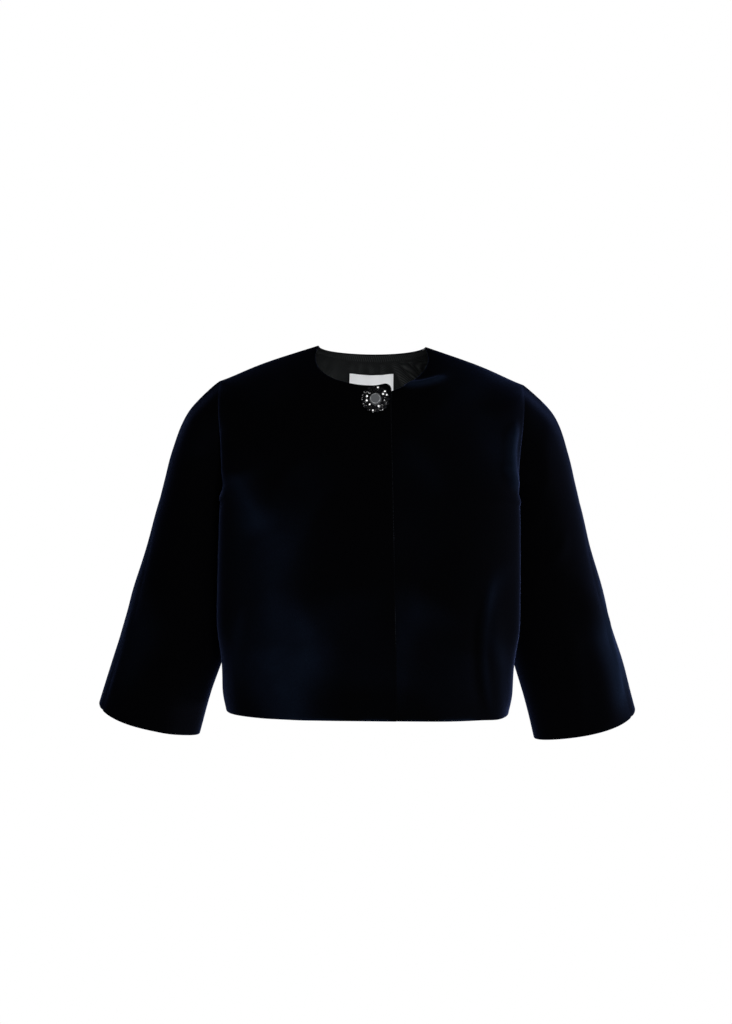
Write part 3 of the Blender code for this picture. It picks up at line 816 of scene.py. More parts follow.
@dataclass(frozen=True)
class Velvet(Finish):
    """Short dark pile: deep colour, soft sheen and fine nap, with painted light read from the mesh and broken
    up by slightly crushed patches.
    """

    name: str = "velvet_pile"
    roughness: float = 1.0
    deep: Colour = (0.00074, 0.00074, 0.00094)
    # Colour of the velvet where its painted light is full, drawn as if lit
    light: Colour = (0.0034, 0.0058, 0.0124)
    sheen: float = 0.12
    sheen_tint: Colour = (0.30, 0.42, 1.0)
    sheen_roughness: float = 0.30
    patches: Grain = Grain(9.0, 4.0, 0.55, 0.6)
    patch_tone: Span = Span(0.3, 0.7, 0.55, 1.2)
    pile: Grain = Grain(900.0, 2.0, 0.6)
    pile_tone: Span = Span(0.3, 0.7, 0.75, 1.15)
    pile_strength: float = 0.5
    pile_depth: float = 0.0004

    def material(self) -> Material:
        """Makes the material.

        Returns:
            The material.
        """
        paint = self.paint(
            Sheen_Weight=self.sheen,
            Sheen_Roughness=self.sheen_roughness,
            Sheen_Tint=(*self.sheen_tint, 1.0),
            Specular_IOR_Level=0.0,
        )
        place = paint.place("Object")
        pile = paint.noise(place, self.pile)
        cloudy = paint.ranged(paint.noise(place, self.patches), self.patch_tone)
        # Painted light: the mesh's share of lit streaks, painted highlights and glints, times the uneven
        # patches
        worn = paint.times(paint.attribute("nap"), cloudy)
        paint.coloured(paint.times(worn, paint.ranged(pile, self.pile_tone)), self.deep, self.light)
        paint.bumped(pile, self.pile_strength, self.pile_depth)
        return paint.material


@dataclass(frozen=True)
class Twill(Finish):
    """Fine lining with a small diagonal dotted weave that follows the cloth, with painted shade in the
    hollows of its folds and painted light on their crests.
    """

    name: str = "twill_lining"
    roughness: float = 0.55
    ground: Colour = (0.0052, 0.0058, 0.0062)
    thread: Colour = (0.0480, 0.0515, 0.0505)
    weave: Weave = Weave(0.0021, 0.3, 1.0, "X")
    turn: float = 45.0
    clouds: Grain = Grain(40.0, 3.0)
    cloud_tone: Span = Span(0.3, 0.7, 0.55, 1.0)
    strength: float = 0.6
    depth: float = 0.00025
    # Tone of the painted shade where the mesh's share is 0, and of the painted light where it is 1
    hollow: float = 0.42
    crest: float = 2.00
    sheen: float = 0.01
    gloss: float = 0.03

    def material(self) -> Material:
        """Makes the material.

        Returns:
            The material.
        """
        paint = self.paint(Sheen_Weight=self.sheen, Specular_IOR_Level=self.gloss)
        place = paint.place("UV")
        warp, weft = (paint.bands(place, self.weave, turn) for turn in (self.turn, -self.turn))
        dots = paint.times(warp, weft)
        faded = paint.times(dots, paint.ranged(paint.noise(place, self.clouds), self.cloud_tone))
        lit = paint.ranged(paint.attribute("nap"), Span(to_low=self.hollow, to_high=self.crest))
        paint.coloured(paint.times(faded, lit), self.ground, self.thread)
        paint.bumped(dots, self.strength, self.depth)
        return paint.material


@dataclass(frozen=True)
class Satin(Finish):
    """White label ribbon with fine weft lines along its width."""

    name: str = "label_ribbon"
    roughness: float = 0.42
    shade: Colour = (0.76, 0.77, 0.79)
    light: Colour = (0.86, 0.87, 0.88)
    weft: Weave = Weave(0.0006, 0.4, 2.0, "Y")
    clouds: Grain = Grain(120.0, 2.0)
    strength: float = 0.3
    depth: float = 0.0001
    sheen: float = 0.1
    gloss: float = 0.4

    def material(self) -> Material:
        """Makes the material.

        Returns:
            The material.
        """
        paint = self.paint(Sheen_Weight=self.sheen, Specular_IOR_Level=self.gloss)
        place = paint.place("UV")
        weft = paint.bands(place, self.weft)
        paint.coloured(paint.times(weft, paint.noise(place, self.clouds)), self.light, self.shade)
        paint.bumped(weft, self.strength, self.depth)
        return paint.material


@dataclass(frozen=True)
class Plated(Finish):
    """Dark plated metal, a little worn."""

    name: str = "dark_plating"
    roughness: float = 0.32
    dark: Colour = (0.006, 0.006, 0.007)
    worn: Colour = (0.060, 0.059, 0.057)
    wear: Grain = Grain(700.0, 4.0)
    wear_tone: Span = Span(0.5, 0.75)
    wear_roughness: Span = Span(to_low=0.22, to_high=0.45)

    def material(self) -> Material:
        """Makes the material.

        Returns:
            The material.
        """
        paint = self.paint(Metallic=1.0)
        wear = paint.noise(paint.place("Object"), self.wear)
        paint.coloured(paint.ranged(wear, self.wear_tone), self.dark, self.worn)
        paint.tree.links.new(paint.ranged(wear, self.wear_roughness), paint.shader.inputs["Roughness"])
        return paint.material


@dataclass(frozen=True)
class CutGlass(Finish):
    """Polished cut glass whose facets are partly painted bright, as painted glints, by the share that the
    mesh holds.
    """

    name: str = "black_crystal"
    roughness: float = 0.06
    dark: Colour = (0.004, 0.004, 0.005)
    bright: Colour = (0.95, 0.95, 0.96)
    bright_from: float = 0.5
    gloss: float = 0.07

    def material(self) -> Material:
        """Makes the material.

        Returns:
            The material.
        """
        paint = self.paint(Specular_IOR_Level=self.gloss)
        # The mesh's share of painted glint mixes in the bright colour
        share = paint.ranged(paint.attribute("foil"), Span(self.bright_from))
        paint.coloured(share, self.dark, self.bright)
        return paint.material


@dataclass(frozen=True)
class Thread(Finish):
    """Twisted sewing thread."""

    name: str = "white_thread"
    roughness: float = 0.7
    dark: Colour = (0.40, 0.40, 0.41)
    light: Colour = (0.72, 0.72, 0.73)
    ply: Grain = Grain(2500.0, 1.0)
    sheen: float = 0.2

    def material(self) -> Material:
        """Makes the material.

        Returns:
            The material.
        """
        paint = self.paint(Sheen_Weight=self.sheen)
        paint.coloured(paint.noise(paint.place("Object"), self.ply), self.dark, self.light)
        return paint.material


@dataclass(frozen=True)
class Paper(Finish):
    """Pale studio paper with a faint grain."""

    name: str = "studio_paper"
    roughness: float = 0.9
    pale: Colour = (0.90, 0.90, 0.90)
    paler: Colour = (0.94, 0.94, 0.94)
    grain: Grain = Grain(60.0, 2.0)
    gloss: float = 0.1

    def material(self) -> Material:
        """Makes the material.

        Returns:
            The material.
        """
        paint = self.paint(Specular_IOR_Level=self.gloss)
        paint.coloured(paint.noise(paint.place("Object"), self.grain), self.pale, self.paler)
        return paint.material


EDGE_FACING = Twill(
    name="edge_facing",
    ground=(0.0008, 0.0008, 0.0010),
    thread=(0.0165, 0.0180, 0.0215),
    hollow=0.0,
    crest=1.0,
    sheen=0.0,
    gloss=0.0,
)
# The stone's bright colour is the painted highlight on its bevel
GREY_STONE = CutGlass(
    name="grey_stone",
    roughness=0.16,
    dark=(0.080, 0.083, 0.088),
    bright=(0.50, 0.50, 0.51),
    bright_from=0.0,
)
DARK_THREAD = Thread(name="dark_thread", dark=(0.012, 0.012, 0.013), light=(0.040, 0.040, 0.042))


@dataclass(frozen=True)
class Finishes:
    """The materials of all the pieces."""

    velvet: Material
    lining: Material
    edge: Material
    label: Material
    metal: Material
    stone: Material
    crystal: Material
    white_thread: Material
    dark_thread: Material

    @classmethod
    def make(cls) -> "Finishes":
        """Makes each material once.

        Returns:
            The materials.
        """
        cloths = (Velvet(), Twill(), EDGE_FACING, Satin())
        jewels = (Plated(), GREY_STONE, CutGlass())
        return cls(*(finish.material() for finish in (*cloths, *jewels, Thread(), DARK_THREAD)))


def new_piece(name: str, mesh: Mesh) -> Object:
    """Puts a mesh into the scene.

    Args:
        name: the piece's name.
        mesh: its mesh.

    Returns:
        The piece, at the origin.
    """
    piece = bpy.data.objects.new(name, mesh)
    bpy.context.scene.collection.objects.link(piece)
    return piece


def dress(piece: Object, slot: str, *nodes: str) -> None:
    """Lets a piece ride on the jacket and stand for its solids.

    Args:
        piece: the finished piece.
        slot: not used.
        nodes: the solids that it stands for.
    """
    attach(piece, ROOT_BODY)
    if nodes:
        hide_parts(*nodes)
    LOG.info("%s: %d faces", piece.name, len(piece.data.polygons))


def dress_cloth(piece: Object, slot: str, node: str) -> None:
    """Dresses a piece of cloth.

    Args:
        piece: the piece.
        slot: passed to dress, which does not use it.
        node: the solid that it stands for.
    """
    dress(piece, slot, node)


@dataclass(frozen=True)
class FacedEdge:
    """The facing that shows along one edge column of a panel, and the light on it at each row."""

    column: int
    finish: Material
    light: np.ndarray


@dataclass(frozen=True)
class Shell:
    """A closed wall of cloth round a grid of points, with rounded edges where it isn't sewn."""

    name: str
    points: np.ndarray
    sewn: tuple[Border, ...] = ()
    nap: np.ndarray | None = None
    thick: float = CUT.wall
    faced: FacedEdge | None = None
    rim_steps: int = 3
    seam_gap: float = 0.00005
    seam_round: float = 0.05
    seam_sink: float = 0.0005
    seam_width: float = 0.0050
    sharp_from: float = 50.0

    def roundness(self) -> np.ndarray:
        """How far each border point is rounded.

        Returns:
            1 at free edges and less where the cloth is sewn, for each point.
        """
        share = np.ones(self.points.shape[:-1])
        for border in self.sewn:
            axis, here, _ = border.value
            share.swapaxes(0, axis)[here] = self.seam_round
        return share.reshape(-1)

    def drawn_back(self) -> np.ndarray:
        """Draws the borders back by half the wall, and sinks the sewn ones.

        Returns:
            The grid.
        """
        sink = np.zeros(self.points.shape[:-1])
        for border in self.sewn:
            axis, here, _ = border.value
            away = np.linalg.norm(self.points - np.take(self.points, [here], axis=axis), axis=-1)
            sink = np.maximum(sink, np.exp(-((away / self.seam_width) ** 2)))
        points = raised(self.points, -sink * self.seam_sink)
        for border in Border:
            axis, here, inner = border.value
            pull = self.thick / 2
            if border in self.sewn:
                pull = pull * self.seam_round + self.seam_gap
            lines = points.swapaxes(0, axis)
            lines[here] += pull * unit(lines[inner] - lines[here])
        return points

    def build(self, outside: Material, inside: Material, turned: np.ndarray | None = None) -> Object:
        """Makes the wall.

        Args:
            outside: finish of the outer face and the edges.
            inside: finish of the inner face.
            turned: True for each row of faces whose inner side has the outer finish, as a turned hem has.

        Returns:
            The piece.
        """
        points = self.drawn_back()
        rows, columns = points.shape[:2]
        count = rows * columns
        index = np.arange(count).reshape(rows, columns)
        loop = np.concatenate((index[0], index[1:, -1], index[-1, -2::-1], index[-2:0:-1, 0]))
        flat_points, flat_normals = points.reshape(-1, 3), grid_normals(points).reshape(-1, 3)
        line = flat_points[loop]
        outward = unit(np.cross(np.roll(line, -1, axis=0) - np.roll(line, 1, axis=0), flat_normals[loop]))
        outward *= self.roundness()[loop, None]
        half = self.thick / 2
        layers = [flat_points + flat_normals * half, flat_points - flat_normals * half]
        rims = [loop]
        for step in range(1, self.rim_steps + 1):
            angle = math.pi * step / (self.rim_steps + 1)
            rims.append(2 * count + (step - 1) * len(loop) + np.arange(len(loop)))
            layers.append(line + half * (flat_normals[loop] * math.cos(angle) + outward * math.sin(angle)))
        rims.append(count + loop)
        corners = (index[:-1, :-1], index[:-1, 1:], index[1:, 1:], index[1:, :-1])
        quads = np.stack(corners, axis=-1).reshape(-1, 4)
        faces = [quads, quads[:, ::-1] + count]
        for upper, lower in zip(rims, rims[1:]):
            faces.append(np.stack((upper, lower, np.roll(lower, -1), np.roll(upper, -1)), axis=-1))
        slots = np.zeros(sum(map(len, faces)), int)
        lined = np.ones(rows - 1, bool) if turned is None else ~turned
        slots[len(quads) : 2 * len(quads)] = np.repeat(lined, columns - 1)
        finishes = (outside, inside)
        # The rims get no painted light, except along a faced edge, which gets that edge's painted light
        rim_painted_light = np.zeros(len(loop))
        if self.faced:
            along = np.isin(loop, index[:, self.faced.column])
            slots[2 * len(quads) :] = np.tile(along * len(finishes), self.rim_steps + 1)
            finishes += (self.faced.finish,)
            rim_painted_light = np.where(along, self.faced.light[loop // columns], 0.0)
        spread = np.stack((grid_lengths(points, 1), grid_lengths(points, 0)), axis=-1).reshape(-1, 2)
        spread = np.concatenate((spread, spread, *[spread[loop]] * self.rim_steps))
        piece = self.mesh(np.concatenate(layers), np.concatenate(faces), slots, spread, finishes)
        # The share of painted light at each point, which the velvet and the twill read
        if self.nap is not None:
            nap = np.clip(self.nap.reshape(-1), 0.0, 1.0)
            shares = np.concatenate((nap, nap, *[rim_painted_light] * self.rim_steps)).astype(np.float32)
            piece.data.attributes.new("nap", "FLOAT", "POINT").data.foreach_set("value", shares)
        return piece

    def mesh(
        self,
        points: np.ndarray,
        faces: np.ndarray,
        slots: np.ndarray,
        spread: np.ndarray,
        finishes: tuple[Material, ...],
    ) -> Object:
        """Puts the wall into a mesh.

        Args:
            points: all points.
            faces: four point numbers for each face.
            slots: the finish's number for each face.
            spread: place of each point on the flat cloth.
            finishes: the finishes.

        Returns:
            The piece.
        """
        mesh = bpy.data.meshes.new(self.name)
        mesh.from_pydata(points.tolist(), [], faces.tolist())
        for finish in finishes:
            mesh.materials.append(finish)
        mesh.polygons.foreach_set("material_index", slots.astype(np.int32))
        layer = mesh.uv_layers.new(name="cloth")
        layer.data.foreach_set("uv", spread[faces.reshape(-1)].astype(np.float32).reshape(-1))
        mesh.shade_smooth()
        mesh.set_sharp_from_angle(angle=math.radians(self.sharp_from))
        mesh.update()
        return new_piece(self.name, mesh)


@dataclass(frozen=True)
class BodyCut:
    """Works out the body's sections on a fine grid."""

    side_rows: int = 45
    armhole_rows: int = 50
    shoulder_rows: int = 24
    front_columns: int = 96
    lap_columns: int = 14
    back_columns: int = 72
    samples: int = 500

    def levels(self) -> np.ndarray:
        """Works out the grid's rows: side seam, armhole and shoulder.

        Returns:
            The fractional table row of each.
        """
        side = np.linspace(0.0, UNDERARM_ROW, self.side_rows + 1)
        armhole = np.linspace(UNDERARM_ROW, TIP_ROW, self.armhole_rows + 1)
        shoulder = np.linspace(TIP_ROW, len(FRONT_ROWS) - 1, self.shoulder_rows + 1)
        return np.concatenate((side, armhole[1:], shoulder[1:]))

    def rows(self, table: tuple[Row, ...]) -> np.ndarray:
        """Works out the table's values at the grid's rows.

        The line of row ends has corners at the underarm and the shoulder tip.

        Args:
            table: the rows of a panel.

        Returns:
            One row of values for each row of the grid.
        """
        levels = self.levels()
        rows = eased(table, levels)
        ends = slice(Row._fields.index("end_x"), Row._fields.index("end_drop") + 1)
        corners = (0, UNDERARM_ROW, TIP_ROW, len(table) - 1)
        for first, last in zip(corners, corners[1:]):
            inside = (levels >= first) & (levels <= last)
            rows[inside, ends] = eased(np.array(table)[first : last + 1, ends], levels[inside] - first)
        return rows

    def half_section(self, values: np.ndarray, facing: Facing) -> np.ndarray:
        """Points of one half section, from the centre to its seam.

        Args:
            values: one row of the table.
            facing: front or back.

        Returns:
            The points.
        """
        row = Row(*values)
        sign = facing.value
        full_x = row.end_x + row.dent * math.exp(-((row.end_out / CUT.dent_reach) ** 2))
        start = np.array((0.0, sign * row.edge_out, -row.edge_drop))
        end = np.array((full_x, sign * row.end_out, -row.end_drop))
        level = start + np.array((row.reach, 0.0, 0.0))
        turn = np.array((row.turn_x, sign * row.turn_out, -row.turn_drop))
        share = np.linspace(0.0, 1.0, self.samples)[:, None]
        rest = 1.0 - share
        points = rest**3 * start + 3 * rest**2 * share * level + 3 * rest * share**2 * turn + share**3 * end
        near = np.exp(-((points[:, 1] / CUT.dent_reach) ** 2))
        points[:, 0] -= row.dent * near * soft_step(share[:, 0] * CUT.dent_rise)
        return points

    def sections(self, facing: Facing) -> list[np.ndarray]:
        """The half sections of all the grid's rows."""
        return [tip_eased(self.half_section(row, facing)) for row in self.rows(PANEL_ROWS[facing])]

    def half(self, facing: Facing) -> np.ndarray:
        """Works out one half of a panel.

        Args:
            facing: front or back.

        Returns:
            The grid, hem to neck and centre to seam.
        """
        columns = self.front_columns if facing is Facing.FRONT else self.back_columns
        shares = np.linspace(0.0, 1.0, columns + 1)
        return np.stack([at_shares(section, shares) for section in self.sections(facing)])

    def armhole(self) -> np.ndarray:
        """Works out the left armhole.

        Returns:
            Its points, from the shoulder tip down the front and up the back.
        """
        span = slice(self.side_rows, self.side_rows + self.armhole_rows + 1)
        front = self.half(Facing.FRONT)[span, -1]
        back = self.half(Facing.BACK)[span, -1]
        return np.concatenate((front[::-1], back[1:]))

    def overlaps(self, sections: list[np.ndarray]) -> np.ndarray:
        """Works out how far each row of a front runs past the centre.

        Args:
            sections: the rows.

        Returns:
            A distance for each row.
        """
        drops = np.array([-section[0, 2] for section in sections])
        ends = (CUT.front_neck_drop, CUT.body_length)
        return np.interp(drops, ends, (CUT.neck_overlap, CUT.hem_overlap))[:, None]

    def neck_share(self) -> np.ndarray:
        """0 up to the shoulder tip, rising to 1 at the neck, for each row."""
        low = np.zeros(self.side_rows + self.armhole_rows)
        return np.concatenate((low, np.linspace(0.0, 1.0, self.shoulder_rows + 1)))[:, None]

    def front(self) -> tuple[np.ndarray, np.ndarray]:
        """Works out a front on the left side, from its edge past the centre to its seam.

        Returns:
            The grid and the overlap of each row.
        """
        sections = self.sections(Facing.FRONT)
        laps = self.overlaps(sections)
        shares = np.linspace(-1.0, 0.0, self.lap_columns + 1)[:-1]
        around = np.linspace(0.0, 1.0, self.front_columns + 1)
        grid = []
        for section, lap in zip(sections, laps):
            past = [np.interp(-lap * shares, section[:, 0], section[:, axis]) for axis in range(3)]
            past[0] = lap * shares
            grid.append(np.concatenate((np.stack(past, axis=1), at_shares(section, around))))
        return np.stack(grid), laps


@dataclass
class Body:
    """The two fronts and the back."""

    cut: BodyCut
    finishes: Finishes
    hem_turn: float = 0.030
    waver: float = 0.0010

    def creased(self, points: np.ndarray, creases: tuple[Crease, ...], sewn: tuple[int, ...]) -> np.ndarray:
        """A grid with its fine creases and slight waver, which fade out at its seams."""
        heights = crease_heights(points[..., 0], -points[..., 2], creases) + unevenness(points, self.waver)
        return raised(points, heights * seam_fade(points, sewn))

    def lapped(self, points: np.ndarray, laps: np.ndarray) -> np.ndarray:
        """Raises the front that lies over the other one, and rounds its top corner.

        Args:
            points: the front's grid.
            laps: the overlap of each row.

        Returns:
            The new grid.
        """
        over = soft_step((-points[..., 0] + laps + CUT.lap_fade) / CUT.lap_fade)
        points = raised(points, CUT.lap_raise * over)
        points[..., 2] += CUT.lap_lift * soft_step(-points[..., 0] / laps) * self.cut.neck_share() ** 2
        inside = np.clip(CUT.lap_corner - (points[-1, :, 0] + CUT.neck_overlap), 0.0, CUT.lap_corner)
        drops = CUT.lap_corner - np.sqrt(CUT.lap_corner**2 - inside**2)
        for column in np.flatnonzero(drops):
            line = points[::-1, column]
            down = lengths_along(line)
            slid = down + drops[column] * np.clip(1.0 - down / CUT.lap_corner_reach, 0.0, 1.0)
            points[::-1, column] = at_lengths(line, slid)
        return points

    def hem_rows(self, points: np.ndarray) -> np.ndarray:
        """True for the rows of faces that lie within the turned hem."""
        return grid_lengths(points, 0).mean(axis=1)[1:] < self.hem_turn

    def front(self, side: Side) -> None:
        """Builds one front; the right one lies over the left.

        Args:
            side: the wearer's side.
        """
        cut, laps = self.cut.front()
        if side is Side.LEFT:
            near = 1.0 - soft_step(np.abs(cut[..., 0]) / CUT.underlap_sag_width)
            cut[..., 2] -= CUT.underlap_sag * near * self.cut.neck_share() ** 2
        else:
            cut = self.lapped(cut, laps)
        points = raised(cut, fold_heights(cut, FRONT_FOLDS[side]) * seam_fade(cut, (-1,)))
        across, drop = points[..., 0], -points[..., 2]
        # Painted light: lit streaks, painted highlights on the crease crests and thin painted glints
        nap = brushed(points, across, FRONT_LIT_STREAKS[side])
        nap += rubbed(crease_heights(across, drop, FRONT_CREASES[side]))
        nap += crease_heights(across, drop, FRONT_GLINTS[side])
        points = self.creased(points, FRONT_CREASES[side], (-1,))
        sewn, column = Border.RIGHT, 0
        if side is Side.RIGHT:
            points, nap = (points * MIRROR)[:, ::-1], nap[:, ::-1]
            sewn, column = Border.LEFT, -1
        light = np.interp(-points[:, column, 2], *np.transpose(EDGE_LIGHTS))
        name = f"front_{side.word}"
        faced = FacedEdge(column, self.finishes.edge, light)
        shell = Shell(f"{name}_cloth", points, (sewn,), nap, faced=faced)
        piece = shell.build(self.finishes.velvet, self.finishes.lining, self.hem_rows(points))
        dress_cloth(piece, "velvet", name)

    def back_points(self) -> np.ndarray:
        """Works out the back with its large folds, from the left side to the right.

        Returns:
            The grid.
        """
        half = self.cut.half(Facing.BACK)
        full = np.concatenate((half[:, ::-1], half[:, 1:] * MIRROR), axis=1)
        return raised(full, fold_heights(full, BACK_FOLDS) * seam_fade(full, (0, -1)))

    def back(self) -> None:
        """Builds the back in one panel."""
        cut = self.back_points()
        # Painted light: lit streaks and painted highlights on the crease crests
        nap = brushed(cut, cut[..., 0], BACK_LIT_STREAKS)
        nap += rubbed(crease_heights(cut[..., 0], -cut[..., 2], BACK_CREASES))
        points = self.creased(cut, BACK_CREASES, (0, -1))
        shell = Shell("back_cloth", points, (Border.LEFT, Border.RIGHT), nap)
        piece = shell.build(self.finishes.velvet, self.finishes.lining, self.hem_rows(points))
        dress_cloth(piece, "velvet", "back")


@dataclass
class Sleeve:
    """One sleeve of a top and an under piece."""

    side: Side
    armhole: np.ndarray
    finishes: Finishes
    cap_rows: int = 44
    arm_rows: int = 64
    cap_ease: float = 2.2
    arm_radius: float = 0.062
    fold_reach: float = 0.030
    cuff_turn: float = 0.030
    waver: float = 0.0012

    def scale(self) -> float:
        """Metres round the arm for one degree."""
        return math.radians(1.0) * self.arm_radius

    def ring_levels(self) -> np.ndarray:
        """Works out the grid's rows.

        Returns:
            The fractional ring number of each.
        """
        cap = np.linspace(0.0, BICEP_RING, self.cap_rows + 1)
        arm = np.linspace(BICEP_RING, len(SLEEVE_RINGS) - 1, self.arm_rows + 1)
        return np.concatenate((cap, arm[1:]))

    def grid(self) -> tuple[np.ndarray, np.ndarray]:
        """Works out the left sleeve, from armhole to cuff and round from the shoulder tip over the front.

        Returns:
            The grid and the angle round the arm of each point, in degrees.
        """
        turn = np.linspace(0.0, 2.0 * math.pi, len(self.armhole))
        last = len(SLEEVE_RINGS) - 1
        rows, angles = [], []
        shift = None
        for level in self.ring_levels():
            step = level / last
            ring = Ring(*eased(SLEEVE_RINGS, [level])[0])
            tilt = math.radians(ring.tilt)
            angle = turn + math.radians(ring.twist)
            out = ring.half_width * np.cos(angle)
            dip = CUT.cuff_dip * np.sin(angle) + CUT.cuff_outer_dip * np.sin(2.0 * angle)
            x = ring.centre_x + out * math.cos(tilt)
            y = ring.centre_y - ring.half_depth * np.sin(angle)
            z = -ring.drop + out * math.sin(tilt) - dip * soft_step(step)
            loop = np.stack((x, y, z), axis=1)
            shift = self.armhole - loop if shift is None else shift
            rows.append(loop + shift * (1.0 - soft_step(step * self.cap_ease)))
            angles.append(np.degrees(angle) % FULL_TURN)
        return np.stack(rows), np.stack(angles)

    def behind(self, angles: np.ndarray) -> np.ndarray:
        """0 at the front of the arm, rising to 1 behind it."""
        return soft_step(0.5 - 0.5 * np.sin(np.radians(angles)))

    def raised(self, points: np.ndarray, heights: np.ndarray) -> np.ndarray:
        """A grid that closes on itself across its columns, raised along its normals."""
        closed = np.concatenate((points[:, -2:-1], points, points[:, 1:2]), axis=1)
        return points + grid_normals(closed)[:, 1:-1] * heights[..., None]

    def creased(self, points: np.ndarray, angles: np.ndarray) -> np.ndarray:
        """Gives the sleeve its folds, creases and slight waver.

        Args:
            points: the sleeve's grid.
            angles: the angle round the arm of each point.

        Returns:
            The new grid.
        """
        front = soft_step(-points[..., 1] / self.fold_reach)
        points = self.raised(points, fold_heights(points, SLEEVE_FOLDS[self.side]) * front)
        heights = crease_heights(angles, -points[..., 2], SLEEVE_CREASES[self.side], self.scale())
        own = points if self.side is Side.LEFT else points * MIRROR
        heights += unevenness(own, self.waver)
        down = np.linalg.norm(points - points[:1], axis=-1)
        return self.raised(points, heights * soft_step(down / (2.0 * CUT.fold_seam_clear)))

    def build(self) -> None:
        """Builds the top and the under piece."""
        cut, angles = self.grid()
        points = self.creased(cut, angles)
        # Painted light: lit streaks, and painted highlights on the crease crests behind the arm
        nap = brushed(cut, angles, SLEEVE_LIT_STREAKS[self.side], self.scale())
        crests = crease_heights(angles, -cut[..., 2], SLEEVE_CREASES[self.side], self.scale())
        nap += rubbed(crests) * self.behind(angles)
        around = points.shape[1] - 1
        front_seam = round(around * CUT.front_seam_turn / FULL_TURN)
        hind_seam = round(around * CUT.hind_seam_turn / FULL_TURN)
        under = list(range(front_seam, hind_seam + 1))
        top = list(range(hind_seam, around)) + list(range(front_seam + 1))
        sewn = (Border.LEFT, Border.RIGHT, Border.BOTTOM)
        for word, columns in (("top", top), ("under", under)):
            grid, shares = points[:, columns], nap[:, columns]
            if self.side is Side.RIGHT:
                grid, shares = (grid * MIRROR)[:, ::-1], shares[:, ::-1]
            to_cuff = grid_lengths(grid, 0)
            turned = (to_cuff[-1] - to_cuff).mean(axis=1)[:-1] < self.cuff_turn
            name = f"sleeve_{word}_{self.side.word}"
            shell = Shell(f"{name}_cloth", grid, sewn, shares)
            piece = shell.build(self.finishes.velvet, self.finishes.lining, turned)
            dress_cloth(piece, "velvet", name)


